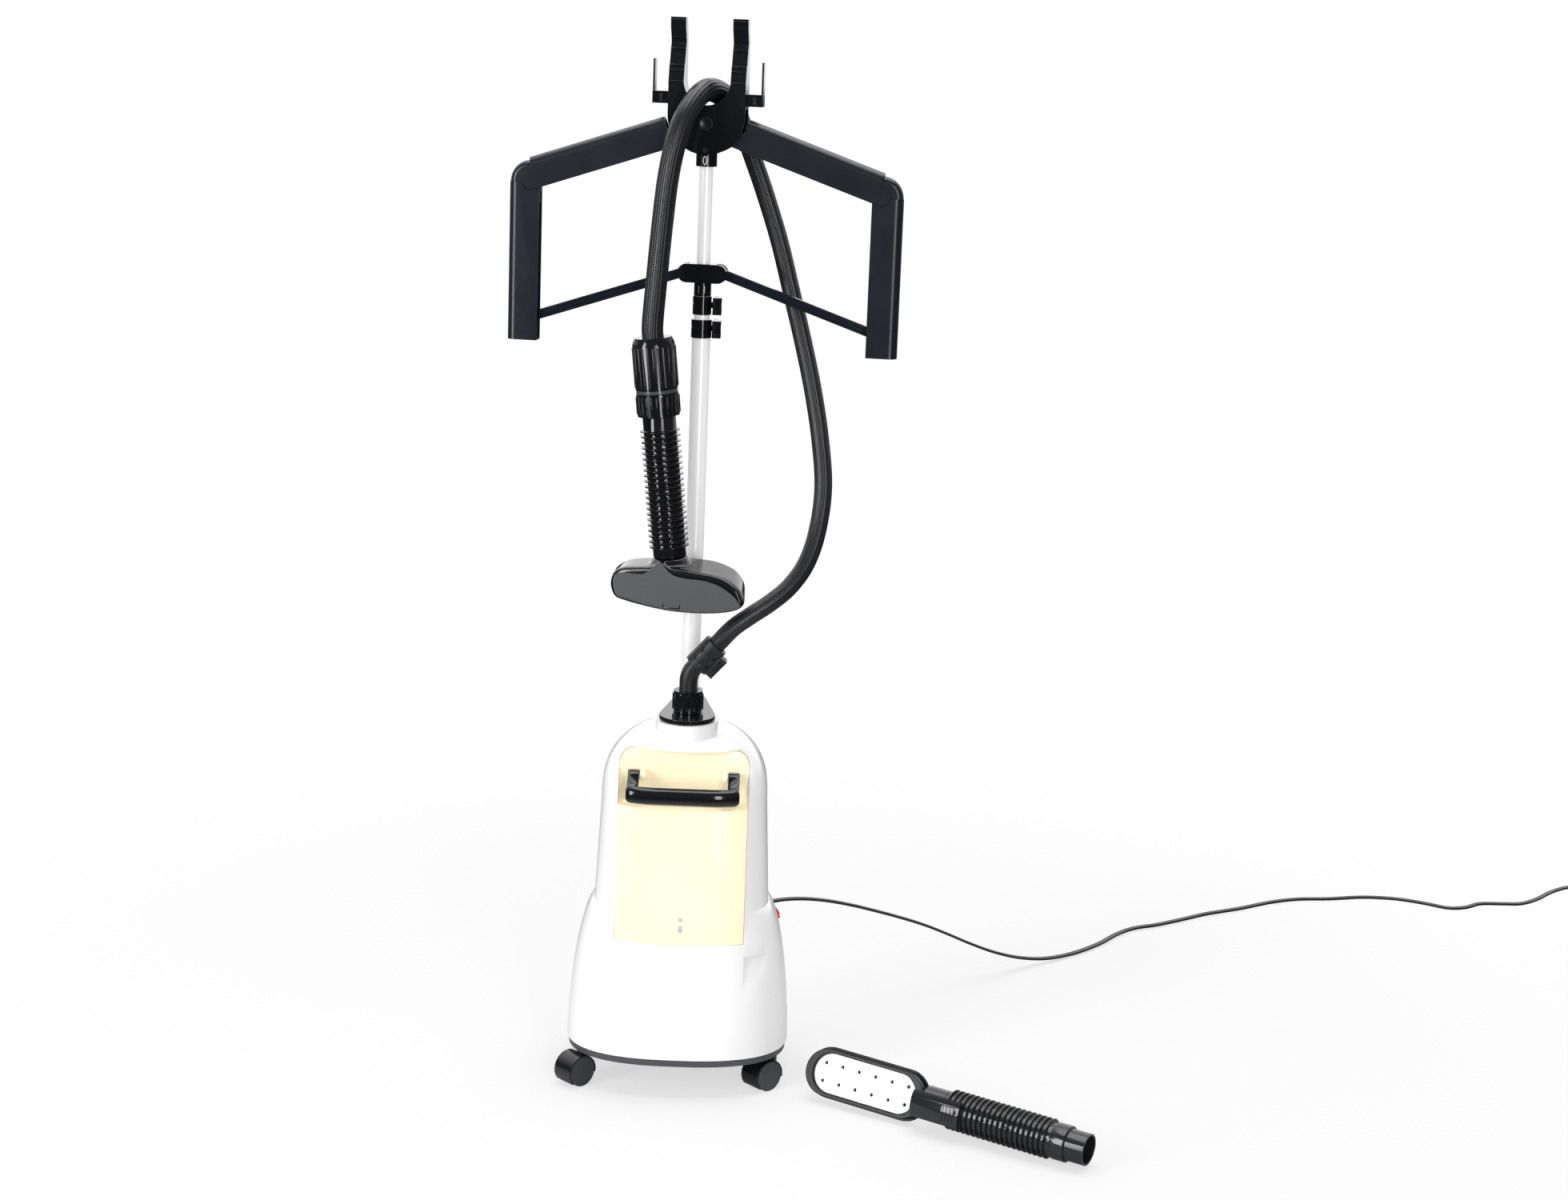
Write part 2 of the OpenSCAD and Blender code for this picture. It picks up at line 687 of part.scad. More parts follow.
module hose_coupling() {
  box_out = 8;
  color("#2b2d31") translate([0, nut_y, 0]) at_coupling() difference() {
    union() {
      translate([0, 0, 2]) cylinder(d = coupling_d, h = coupling_len);
      translate([coupling_d / 2 - 4, -9, 4]) cube([box_out + 4, 18, coupling_len - 8]);
    }
    translate([0, 0, 1]) cylinder(r = elbow_r + run_fit, h = 8);
    translate([0, 0, 12]) cylinder(d = hose_rear_d + 1.2, h = 60);
    for (k = [0, 1], a = [-1, 0, 1]) rotate([0, 0, -90 + 34 * a])
      translate([coupling_d / 2 - 1.6, -2, 10 + 13 * k]) cube([4, 4, 5]);
    for (k = [0, 1]) translate([coupling_d / 2 + 1 + 3.4 * k, -20, 8]) cube([1.4, 14, coupling_len - 16]);
  }
}

// Water tank
function tank_side(d) = [
  [tank_front_y + d, tank_z + d],
  [tank_front_y + d, tank_front_z - 7 - d],
  [tank_front_y + 2.5 + d, tank_front_z - 2 - d],
  [tank_front_y + 8 + d, tank_front_z - d],
  [pocket_y - 9 + d, tank_front_z - 2 - d],
  [pocket_y - 2 + d, tank_front_z + 2 - d],
  [pocket_y + d, tank_front_z + 10],
  [pocket_y + d, tank_top_z - 6],
  [pocket_y + 5 + d, tank_top_z - d],
  [tank_back_y - d, tank_top_z - d],
  [tank_back_y - d, tank_z + d]
];
module tank_form(d) {
  intersection() {
    side_slab(2 * (tank_half - d)) polygon(tank_side(d));
    rotate([90, 0, 0]) linear_extrude(height = 400, center = true)
      bay_face(tank_half - d, tank_z + d, tank_top_z - d, bay_r - d);
    translate([0, 0, tank_z]) linear_extrude(height = bay_h)
      polygon(outline(column_a + 6 - d, column_front + tank_proud - d, column_back));
  }
}
module tank_corner() {
  lift = tank_front_z + 4;
  points = [
    [tank_half + 0.5, tank_front_y + 3, tank_z + 106], [tank_half - 8, tank_front_y - 1, lift],
    [tank_half + 0.5, tank_front_y + 15, lift], [tank_half + 20, tank_front_y - 30, lift]
  ];
  polyhedron(points = points, faces = [[0, 2, 1], [0, 1, 3], [0, 3, 2], [1, 2, 3]]);
}
module water_tank() {
  color("#f3e98f", 0.8) {
    difference() {
      tank_form(0);
      tank_form(tank_wall);
      both_sides() tank_corner();
      translate([0, valve_y, tank_z - 1]) cylinder(r = valve_r, h = 20);
    }
    both_sides() {
      inner = handle_w / 2 - handle_arm_w - 1;
      translate([inner - 3, handle_pivot_y, handle_pivot_z]) side_slab(6) difference() {
        union() {
          circle(r = handle_end_r - 1);
          translate([0, -handle_end_r + 1]) square([handle_end_r + 2, 2 * handle_end_r - 2]);
        }
      }
      translate([inner - 1, handle_pivot_y, handle_pivot_z]) rotate([0, 90, 0])
        cylinder(d = handle_pin_d, h = handle_arm_w - 1);
    }
  }
}
module tank_valve() {
  color("#e9e6da") translate([0, valve_y, tank_z]) {
    translate([0, 0, tank_wall]) cylinder(r = valve_r + 4, h = 4);
    translate([0, 0, 0.3]) cylinder(r = valve_r - 0.2, h = 12);
    translate([0, 0, 8]) cylinder(d = 7, h = 24);
    translate([0, 0, 28]) cylinder(d = 10, h = 3);
  }
}
module tank_handle() {
  color("#121316") translate([0, handle_pivot_y, handle_pivot_z]) rotate([handle_drop, 0, 0]) difference() {
    union() {
      translate([0, -handle_reach, 0]) rotate([-handle_drop, 0, 0]) hull() both_sides()
        for (s = [-1, 1]) translate([handle_w / 2 - 6, 0, s * (handle_bar_h / 2 - 6)]) sphere(r = 6, $fn = 32);
      both_sides() translate([handle_w / 2 - handle_arm_w / 2 - 0.5, 0, 0]) side_slab(handle_arm_w - 1) {
        circle(r = handle_end_r);
        translate([-handle_reach, -6]) square([handle_reach, 12]);
      }
    }
    both_sides() translate([handle_w / 2 - handle_arm_w - 2, 0, 0]) rotate([0, 90, 0])
      cylinder(d = handle_pin_d + 2 * run_fit, h = handle_arm_w);
  }
}

// Casters: the wheel pair trails behind its stem, and the hood covers the top of both wheels
module at_caster(i) {
  translate([caster_places[i][0], caster_places[i][1], 0]) rotate([0, 0, caster_places[i][2]]) children();
}
module caster_hood() {
  difference() {
    union() {
      translate([-trail, 0, wheel_r]) cross_pin(2 * hood_r, hood_w);
      translate([0, 0, wheel_r]) cylinder(r = neck_r, h = pan_z - gap - wheel_r);
      cylinder_top = stem_top_z - wheel_r;
      translate([0, 0, wheel_r]) cylinder(d = stem_d, h = cylinder_top);
      translate([-trail, -web_w / 2, wheel_r - 6]) cube([trail + neck_r - 1, web_w, 12]);
    }
    for (s = [-1, 1]) translate([-trail, s * (web_w + wheel_w + 1) / 2, wheel_r])
      cross_pin(wheel_d + 1.2, wheel_w + 1);
    translate([-trail, 0, wheel_r]) cross_pin(axle_d + 2 * run_fit, 80);
    translate([-60, -40, -5]) cube([120, 80, 10]);
    translate([-trail + 4, -40, -5]) cube([60, 80, wheel_r + 1]);
  }
}
module caster_wheels() {
  translate([-trail, 0, wheel_r]) {
    for (s = [-1, 1]) translate([0, s * (web_w + wheel_w + 0.6) / 2, 0]) difference() {
      cross_pin(wheel_d, wheel_w - 0.4);
      translate([0, s * wheel_w / 2, 0]) cross_pin(wheel_d - 7, 1.2);
    }
    cross_pin(axle_d, web_w + 4);
  }
}
module caster_fl() { color("#17181b") at_caster(0) caster_hood(); }
module caster_fr() { color("#17181b") at_caster(1) caster_hood(); }
module caster_rl() { color("#17181b") at_caster(2) caster_hood(); }
module caster_rr() { color("#17181b") at_caster(3) caster_hood(); }
module wheels_fl() { color("#3b3d41") at_caster(0) caster_wheels(); }
module wheels_fr() { color("#3b3d41") at_caster(1) caster_wheels(); }
module wheels_rl() { color("#3b3d41") at_caster(2) caster_wheels(); }
module wheels_rr() { color("#3b3d41") at_caster(3) caster_wheels(); }

// Telescopic pole
module pole_tube(d, low, top) {
  on_pole() translate([0, 0, low]) difference() {
    cylinder(d = d, h = top - low);
    translate([0, 0, -1]) cylinder(d = d - 2 * tube_wall, h = top - low + 2);
  }
}
module lower_tube() { color("#c9cbce") pole_tube(lower_d, socket_foot_z + 4.2, clamp_z + clamp_h / 2); }
module middle_tube() { color("#c9cbce") pole_tube(middle_d, middle_foot_z, upper_clamp_z + clamp_h / 2); }
module upper_tube() { color("#c9cbce") pole_tube(upper_d, upper_foot_z, tube_top_z); }

// Clamp on the top end of one tube, with room for the tube that slides in it
lever_pin_x = 17;
lever_pin_y = 7;
module clamp(r, held_d, sliding_d, z) {
  mid = clamp_h / 2;
  color("#1a1b1e") on_pole() translate([0, 0, z]) difference() {
    union() {
      cylinder(r = r, h = clamp_h);
      translate([0, lever_pin_y - 4, mid - lug_h / 2]) cube([lever_pin_x, 8, lug_h]);
      translate([lever_pin_x, lever_pin_y, mid - lug_h / 2]) cylinder(r = 4, h = lug_h);
      translate([lever_pin_x, lever_pin_y, 1]) cylinder(d = lever_pin_d, h = clamp_h - 2);
    }
    translate([0, 0, -1]) cylinder(d = held_d + 2 * run_fit, h = mid + 1.1);
    translate([0, 0, -1]) cylinder(d = sliding_d + 2 * tube_gap, h = clamp_h + 2);
    translate([0, 0, mid + 2]) rotate_extrude() translate([r - 0.5, 0]) square([2, 0.8]);
  }
}
// Lever that swings on the clamp's lug, forked round it, with a shallow window in front
module clamp_lever(z) {
  low_y = -12;
  h = clamp_h - 2 * lever_edge;
  lug_low = clamp_h / 2 - lug_h / 2 - lever_edge;
  color("#222328") on_pole() translate([0, 0, z + lever_edge]) difference() {
    union() {
      translate([lever_pin_x, lever_pin_y, 0]) cylinder(r = 4, h = h);
      translate([lever_pin_x - 4, low_y, 0]) cube([lever_w, lever_pin_y - low_y, h]);
    }
    translate([lever_pin_x - 12, lever_pin_y - 6.4, lug_low - gap]) cube([24, 14, lug_h + 2 * gap]);
    translate([lever_pin_x, lever_pin_y, -1]) cylinder(d = lever_pin_d + 2 * run_fit, h = clamp_h + 2);
    translate([lever_pin_x - 1.6, low_y - 1, 4]) cube([lever_w - 4.6, 2.2, h - 8]);
  }
}
module lower_clamp() { clamp(clamp_r, lower_d, middle_d, clamp_z); }
module upper_clamp() { clamp(upper_clamp_r, middle_d, upper_d, upper_clamp_z); }
module lower_lever() { clamp_lever(clamp_z); }
module upper_lever() { clamp_lever(upper_clamp_z); }

// Hanger
module prong_side() {
  h = yoke_z + prong_h;
  f = -yoke_t / 2;
  b = yoke_t / 2;
  low = cradle_z - 8;
  polygon([
    [f, low], [f, cradle_z], [f + 5, cradle_z + 19], [f + 6.5, cradle_z + 19], [f + 13.5, cradle_z + 41],
    [f + 15, cradle_z + 43], [f + 14, h - 25], [f + 7, h - 12], [f + 6, h], [b - 11, h], [b - 3, h - 25],
    [b - 1, cradle_z + 16], [b, low]
  ]);
}
module hanger_yoke() {
  prong_w = cradle_out - cradle_r;
  color("#232529") in_hanger() difference() {
    union() {
      slab(yoke_t) difference() {
        union() {
          translate([0, yoke_z]) circle(r = yoke_r, $fn = 96);
          translate([-cradle_out, yoke_z]) square([2 * cradle_out, cradle_z - yoke_z]);
        }
        translate([0, cradle_z]) circle(r = cradle_r, $fn = 96);
      }
      both_sides() translate([cradle_r + prong_w / 2, 0, 0]) side_slab(prong_w) prong_side();
      translate([0, 0, yoke_z - yoke_r - 14]) cylinder(d = upper_d + 9, h = 24);
    }
    both_sides() {
      translate([arm_pivot_x - 13, -slot_half, yoke_z - yoke_r - 20])
        cube([80, 2 * slot_half, arm_pivot_z + arm_up / cos(droop) + 4 - yoke_z + yoke_r + 20]);
      translate([arm_pivot_x, 0, arm_pivot_z]) cross_pin(pin_d + 0.1, yoke_t - 4);
    }
    translate([0, 0, yoke_z - yoke_r - 20])
      cylinder(d = upper_d + 2 * run_fit, h = tube_top_z - yoke_z + yoke_r + 20.2);
    translate([0, -yoke_t / 2 + 4, button_z]) cross_pin(button_d + 0.6, 10);
  }
}
module hanger_pins() {
  color("#a9abaf") in_hanger() both_sides() {
    translate([arm_pivot_x, 0, arm_pivot_z]) cross_pin(pin_d, yoke_t - 5);
    translate([strut_pivot_x, 0, collar_z]) cross_pin(pin_d, collar_t - 5);
  }
}
module press_button() {
  color("#2f3136") in_hanger() translate([0, -yoke_t / 2, button_z]) difference() {
    translate([0, 1, 0]) cross_pin(button_d, 6);
    translate([0, -button_d - 0.8, 0]) sphere(r = button_d);
  }
}
module side_hooks() {
  low = cradle_z - cradle_r;
  out = cradle_out + hook_out;
  color("#1f2024") in_hanger() both_sides() difference() {
    union() {
      translate([cradle_out, -9, low]) cube([hook_out, 18, hook_foot]);
      translate([out - hook_t, -7, low]) cube([hook_t, 14, hook_up]);
    }
    translate([cradle_out + hook_out / 2 - 1, -10, low + 3]) cube([2, 3, hook_foot - 6]);
  }
}
module strut_collar() {
  half = collar_w / 2 - collar_h / 2;
  color("#1a1b1f") in_hanger() difference() {
    union() {
      translate([0, 0, collar_z]) slab(collar_t) {
        translate([-half, -collar_h / 2]) square([2 * half, collar_h]);
        translate([-half, 0]) circle(d = collar_h);
        translate([half, 0]) circle(d = collar_h);
      }
      translate([0, 0, upper_clamp_z + clamp_h + gap])
        cylinder(d = upper_d + 4.6, h = collar_z - upper_clamp_z - clamp_h);
    }
    for (s = [-1, 1]) translate([s * 3.6 - 0.7, -upper_d, upper_clamp_z + clamp_h + 4])
      cube([1.4, upper_d / 2 + 0.9, 9]);
    cylinder(d = upper_d + 2 * run_fit, h = 2000);
    both_sides() {
      translate([strut_pivot_x - 7.5, -strut_t / 2 - 0.5, collar_z - 40]) cube([60, strut_t + 1, 40 + strut_h]);
      translate([strut_pivot_x, 0, collar_z]) cross_pin(pin_d + 0.1, collar_t - 4);
    }
  }
}

// One arm from its yoke pivot along +X, before it droops
module arm() {
  r = arm_t / 2;
  ri = r - arm_wall;
  round_z = arm_up - r;
  difference() {
    union() {
      translate([arm_len / 2 + 3.5, 0, 0]) side_slab(arm_len - 21) difference() {
        union() {
          translate([0, round_z]) circle(r = r);
          translate([-r, -arm_down]) square([2 * r, round_z + arm_down]);
        }
        translate([0, round_z]) circle(r = ri);
        translate([-ri, -arm_down - 1]) square([2 * ri, round_z + arm_down + 1]);
      }
      for (s = [-1, 1]) translate([0, s * (r - arm_wall / 2), 0]) slab(arm_wall) {
        circle(r = lug_r);
        translate([0, -lug_r]) square([18, 2 * lug_r]);
        translate([arm_len, 0]) circle(r = lug_r);
        translate([arm_len - 12, -lug_r]) square([12, 2 * lug_r]);
      }
    }
    for (x = [0, arm_len]) translate([x, 0, 0]) cross_pin(pin_d + 2 * run_fit, 60);
  }
}
module at_arm() {
  translate([arm_pivot_x, 0, arm_pivot_z]) rotate([0, droop, 0]) children();
}
module right_arm() { color("#25272c") in_hanger() at_arm() arm(); }
module left_arm() { color("#25272c") in_hanger() mirror([1, 0, 0]) at_arm() arm(); }

// One side panel hung from its corner pivot
corner_x = arm_pivot_x + arm_len * cos(droop);
corner_z = arm_pivot_z - arm_len * sin(droop);
module panel() {
  r = arm_t / 2;
  ri = r - arm_wall;
  inner_x = -11.3;
  round_x = panel_w + inner_x - r;
  bead_r = arm_up - r;
  difference() {
    union() {
      translate([0, 0, -panel_h]) linear_extrude(height = panel_h - 1) difference() {
        union() {
          translate([round_x, 0]) circle(r = r);
          translate([inner_x, -r]) square([round_x - inner_x, 2 * r]);
        }
        translate([round_x, 0]) circle(r = ri);
        translate([inner_x - 1, -ri]) square([round_x - inner_x + 1, 2 * ri]);
      }
      translate([0, 0, -panel_h]) linear_extrude(height = 3) {
        translate([round_x, 0]) circle(r = r - 0.5);
        translate([inner_x, -r + 0.5]) square([round_x - inner_x, 2 * r - 1]);
      }
      translate([inner_x + 2, -ri - 0.3, -26]) cube([round_x - inner_x - 2, 2 * ri + 0.6, 15]);
    }
    cross_pin(2 * lug_r + 1.6, 60);
    rotate([0, droop, 0]) translate([-80, -30, -arm_down - 0.6]) cube([76, 60, 60]);
  }
  difference() {
    intersection() {
      rotate([90, 0, 0]) rotate_extrude() {
        translate([0, -ri + 0.5]) square([bead_r, 2 * ri - 1]);
        intersection() {
          translate([bead_r, 0]) circle(r = ri - 0.5);
          translate([bead_r - 0.1, -ri]) square([ri + 1, 2 * ri]);
        }
      }
      translate([-60, -30, -12]) cube([120, 60, 100]);
    }
    translate([-60, -30, -40]) cube([60 + inner_x, 60, 40]);
  }
  cross_pin(pin_d, arm_t - 0.4);
  translate([link_dx, 0, -link_h]) cross_pin(pin_d, 2 * ri + 1);
}
module at_corner() {
  translate([corner_x, 0, corner_z]) children();
}
module right_panel() { color("#25272c") in_hanger() at_corner() panel(); }
module left_panel() { color("#25272c") in_hanger() mirror([1, 0, 0]) at_corner() panel(); }

// One strut from its collar pivot along +X, with three long ribs on both faces
strut_open_gap = 0.35;
module strut() {
  rib = strut_h / 7;
  difference() {
    union() {
      slab(strut_t - 1.6) {
        circle(d = strut_h);
        translate([0, -strut_h / 2]) square([arm_len, strut_h]);
        translate([arm_len, 0]) circle(d = strut_h);
      }
      for (k = [-1:1]) slab(strut_t) translate([9, (2.4 * k - 0.5) * rib]) square([arm_len - 22, rib]);
    }
    cross_pin(pin_d + 2 * run_fit, 30);
    translate([arm_len, 0, 0]) cross_pin(pin_d + 2 * strut_open_gap, 30);
  }
}
module at_strut() {
  translate([strut_pivot_x, 0, collar_z]) rotate([0, droop, 0]) children();
}
module right_strut() { color("#1f2024") in_hanger() at_strut() strut(); }
module left_strut() { color("#1f2024") in_hanger() mirror([1, 0, 0]) at_strut() strut(); }

// Hose
module hose_rear() { color("#202226") tube_along(hose_rear_points, hose_rear_d / 2, 10); }
module hose_front() { color("#202226") tube_along(hose_front_points, hose_front_radii, 10); }

// Grip with fins, as a turned profile along +Z
fin_low = 12;
fin_high = 12;
function fin_profile(len) =
  let (step = (len - fin_low - fin_high) / fins)
  [for (k = [0:fins - 1]) let (z = fin_low + k * step)
    each [[grip_d / 2, z], [fin_d / 2, z + 0.3], [fin_d / 2, z + fin_t - 0.3], [grip_d / 2, z + fin_t]]];
module finned_grip(len) {
  rotate_extrude() polygon(concat(
    [[0, 0], [grip_d / 2, 0]],
    fin_profile(len),
    [[grip_d / 2, len - 1], [grip_spigot_d / 2, len],
     [grip_spigot_d / 2, len + grip_nut_h - 3], [0, len + grip_nut_h - 3]]
  ));
}
module wand_grip() { color("#131417") in_wand() finned_grip(grip_len); }
module handle_nut() {
  ribs = 24;
  color("#1d1e22") in_wand() translate([0, 0, nut_low_z]) difference() {
    union() {
      cylinder(d = cuff_d - 2, h = grip_nut_h);
      for (k = [0:ribs - 1]) rotate([0, 0, 360 * k / ribs]) translate([cuff_d / 2 - 1.4, 0, 3])
        cylinder(d = 2.8, h = grip_nut_h - 6);
    }
    translate([0, 0, -1]) cylinder(d = grip_spigot_d + 2 * run_fit, h = grip_nut_h + 2);
  }
}
module cuff_ring() {
  color("#77797d") in_wand() translate([0, 0, ring_low_z]) cylinder(d = cuff_d - 3, h = ring_h);
}
module hose_cuff() {
  ribs = 24;
  color("#1d1e22") in_wand() translate([0, 0, cuff_low_z]) difference() {
    union() {
      cylinder(d = cuff_d - 2, h = cuff_h - 8);
      translate([0, 0, cuff_h - 8]) cylinder(d1 = cuff_d - 2, d2 = cuff_d - 8, h = 8);
      for (k = [0:ribs - 1]) rotate([0, 0, 360 * k / ribs]) translate([cuff_d / 2 - 1.6, 0, 3])
        cylinder(d = 3.2, h = cuff_h - 14);
    }
    translate([0, 0, 20]) cylinder(d = hose_d + 0.8, h = cuff_h);
  }
}

// Steam head, level under the leaning grip: rings from the rounded back to the rim in front.
// Each ring is its top line and its bottom line, from left to right.
face_top = [
  [-63, -33], [-61.5, -25.5], [-56, -21], [-47, -20], [-25, -19.4], [-17, -15], [-10, -8], [-2.4, -1],
  [3.5, -7], [9, -13], [18, -18], [33, -19.4], [53, -19.6], [65, -21.3], [75, -24.2], [84, -28.5],
  [94, -35], [102.7, -45]
];
face_low = [
  [-63, -33], [-61, -43.5], [-56, -50], [-36, -54], [-15.6, -57.5], [5, -59.7], [22, -60.3], [38, -60.1],
  [54, -59], [71, -57.2], [87, -54.3], [101, -49.6], [102.7, -45]
];
rim_top = [
  [-68, -34], [-65, -22.5], [-58, -16.4], [-49, -14], [-35, -12.4], [-20, -10.5], [5, -9], [25, -9.2],
  [45, -11], [62, -12], [74, -14], [86, -18.6], [97, -27], [105, -42]
];
rim_low = [
  [-68, -34], [-66.5, -46], [-60, -53.5], [-40, -57.5], [-19, -60.5], [2, -62.8], [18, -63.3], [35, -63],
  [51, -62], [67, -60.2], [83, -57.4], [97, -53], [103.5, -48], [105, -42]
];
back_top = [
  [-80, -27], [-71, -19.5], [-61, -14.2], [-48, -11.4], [-34, -9.7], [12, -5], [32, -4], [53, -5.5],
  [66, -9], [78, -14], [87, -25], [90, -35]
];
back_low = [
  [-80, -27], [-76, -38], [-60, -46], [-30, -51], [0, -53], [30, -53], [60, -50], [82, -43], [90, -35]
];
ring_steps = 22;
function ring_x(top, i) = blend(top[0][0], top[len(top) - 1][0], (1 - cos(180 * i / ring_steps)) / 2);
function head_ring(top, low, y, k) =
  let (c = [(top[0][0] + top[len(top) - 1][0]) / 2, -34])
  [for (i = [0:2 * ring_steps - 1])
    let (first = i <= ring_steps, x = ring_x(top, first ? i : 2 * ring_steps - i),
         z = lookup(x, first ? low : top))
    [c[0] + k * (x - c[0]), y, c[1] + k * (z - c[1])]];
function between(a, b, i, k) = a[i] + k * (b[i] - a[i]);
module in_head() {
  translate([wand_x, wand_y, wand_z]) rotate([0, 0, head_turn]) children();
}
module steam_head() {
  half = head_deep / 2;
  back = head_ring(back_top, back_low, half - 5, 1);
  rim = head_ring(rim_top, rim_low, 9 - half, 1);
  color("#15161a") {
    in_head() {
      loft([
        head_ring(back_top, back_low, half, 0.86), head_ring(back_top, back_low, half - 1.5, 0.95), back,
        [for (i = [0:2 * ring_steps - 1]) between(back, rim, i, 0.5)], rim,
        head_ring(rim_top, rim_low, 3.5 - half, 0.99), head_ring(rim_top, rim_low, 1 - half, 0.955)
      ]);
      translate([0, 1 - half, 0]) rotate([90, 0, 0]) mirror([0, 0, 1]) linear_extrude(height = half)
        polygon([[-26, -22], [-18, -16.5], [-11, -9], [-2.4, -2.6],
          [4.5, -8], [10, -14], [19, -19.5], [24, -22]]);
    }
    in_wand() rotate_extrude() polygon([
      [0, -26], [grip_d / 2 + 7.4, -17], [grip_d / 2 + 5, -9],
      [grip_d / 2 + 2.5, -4], [grip_d / 2 + 1.5, -gap], [0, -gap]
    ]);
  }
}
module head_plate() {
  front = -head_deep / 2;
  color("#47494e") in_head()
    loft([head_ring(face_top, face_low, front + 0.8, 0.99), head_ring(face_top, face_low, front - 0.8, 0.98)]);
}

// Press wand: oval head, plate, neck block and grip along +X of its own frame
module oval(d) {
  r = press_w / 2 - d;
  half = press_len / 2 - press_w / 2;
  translate([-half, -r]) square([2 * half, 2 * r]);
  translate([-half, 0]) circle(r = r);
  translate([half, 0]) circle(r = r);
}
module in_press_head() {
  in_press() rotate([press_roll, 0, 0]) children();
}
press_plate_z = press_deep / 2 - 4.5;
press_plate_t = 4;
module plate_oval(d) {
  r = press_w / 2 - press_step - press_rim - d;
  half = press_len / 2 - press_w / 2 - 5.7;
  translate([-half, -r]) square([2 * half, 2 * r]);
  for (s = [-1, 1]) translate([s * half, 0]) circle(r = r);
}
module press_head() {
  color("#17181b") in_press_head() difference() {
    union() {
      translate([0, 0, -press_deep / 2]) linear_extrude(height = press_deep) oval(press_step);
      translate([0, 0, -press_deep / 2]) linear_extrude(height = 4.5) oval(0);
    }
    translate([0, 0, press_plate_z - press_plate_t]) linear_extrude(height = 20) plate_oval(0);
  }
}
module press_plate() {
  pitch = 22.9;
  row = 11;
  color("#f2f2f0") in_press_head() translate([0, 0, press_plate_z - press_plate_t]) difference() {
    linear_extrude(height = press_plate_t) plate_oval(gap);
    for (i = [0:5], s = [-1, 1]) translate([(i - 2.5) * pitch, s * row, -1]) cylinder(d = 4.6, h = 10);
    for (x = [-46, 0, 46], s = [-1, 1]) translate([x, s * 19.2, press_plate_t - 0.7]) cylinder(d = 4.4, h = 5);
  }
}
// Neck block: a sector of a drum round the grip's axis, whose tongue covers the first fins
module press_neck() {
  drum_r = 28.5;
  front = press_deep / 2 + gap;
  reach = press_tongue_x - press_neck_x;
  head_end = press_len / 2 + gap;
  color("#26282c") in_press_head() {
    difference() {
      intersection() {
        translate([press_neck_x, 0, 0]) rotate([0, 90, 0]) cylinder(r = drum_r, h = reach);
        translate([press_neck_x - 1, -19.5, front]) cube([reach + 2, 32, drum_r]);
      }
      translate([press_grip_x - 1, 0, 0]) rotate([0, 90, 0]) cylinder(r = fin_d / 2 + gap, h = reach);
    }
    translate([head_end, 0, 0]) rotate([0, 90, 0]) cylinder(d = grip_d, h = press_grip_x - head_end - gap);
    intersection() {
      for (k = [0:3]) translate([press_grip_x + 4.5 + 4.6 * k, -13.5, front]) cube([2, 17.5, drum_r]);
      difference() {
        translate([press_neck_x, 0, 0]) rotate([0, 90, 0]) cylinder(r = drum_r + 0.9, h = reach);
        translate([press_neck_x - 1, 0, 0]) rotate([0, 90, 0]) cylinder(r = drum_r - 0.8, h = reach + 2);
      }
    }
  }
}
module press_grip() {
  step = (press_fin_len - 7) / press_fins;
  fin_rows = [for (k = [0:press_fins - 1]) let (z = k * step + 6)
    each [[grip_d / 2, z], [fin_d / 2, z + 0.3], [fin_d / 2, z + fin_t - 0.3], [grip_d / 2, z + fin_t]]];
  collar_r = press_collar_d / 2;
  collar_end = press_fin_len + press_collar_len;
  end = collar_end + press_spigot_len;
  spigot_r = grip_spigot_d / 2;
  color("#131417") in_press() translate([press_grip_x, 0, 0]) rotate([0, 90, 0])
    rotate_extrude() polygon(concat(
      [[0, 0], [grip_d / 2, 0]],
      fin_rows,
      [[grip_d / 2, press_fin_len], [collar_r, press_fin_len + 1], [collar_r, collar_end - 1],
       [collar_r - 1, collar_end], [spigot_r, collar_end], [spigot_r, end],
       [spigot_r - 2.5, end], [spigot_r - 2.5, collar_end], [0, collar_end]]
    ));
}

// Mains cord, its put-away coil and its plug
module cord() { color("#1a1b1d") tube_along(cord_points, cord_d / 2, 8); }
module cord_coil() {
  color("#1a1b1d") translate([coil_x, coil_y, coil_section / 2 + 0.5]) rotate_extrude()
    translate([coil_r - coil_section / 2, -coil_section / 2]) square([coil_section, coil_section]);
}
module plug() {
  tail = 14;
  body = 24;
  color("#1a1b1d") translate([coil_x, coil_y - coil_r - coil_section / 2 - 0.05, 10.5]) rotate([90, 0, 0]) {
    cylinder(d1 = 9, d2 = 14, h = tail);
    translate([0, 0, tail]) cylinder(d = 20, h = body);
    for (s = [-1, 1]) translate([s * 6.35 - 0.75, -3.2, tail + body - 1]) cube([1.5, 6.4, 18]);
  }
}

base_pan();
pan_screws();
housing();
rocker_bezel();
rocker();
cord_gland();
boiler();
steam_riser();
valve_seat();
water_inlet();
thermostat();
terminal_block();
neck_flange();
outlet_nut();
hose_elbow();
hose_coupling();
water_tank();
tank_valve();
tank_handle();
caster_fl();
caster_fr();
caster_rl();
caster_rr();
wheels_fl();
wheels_fr();
wheels_rl();
wheels_rr();
lower_tube();
middle_tube();
upper_tube();
lower_clamp();
upper_clamp();
lower_lever();
upper_lever();
hanger_yoke();
hanger_pins();
press_button();
side_hooks();
strut_collar();
right_arm();
left_arm();
right_panel();
left_panel();
right_strut();
left_strut();
hose_rear();
hose_front();
wand_grip();
handle_nut();
cuff_ring();
hose_cuff();
steam_head();
head_plate();
press_head();
press_plate();
press_neck();
press_grip();
cord();
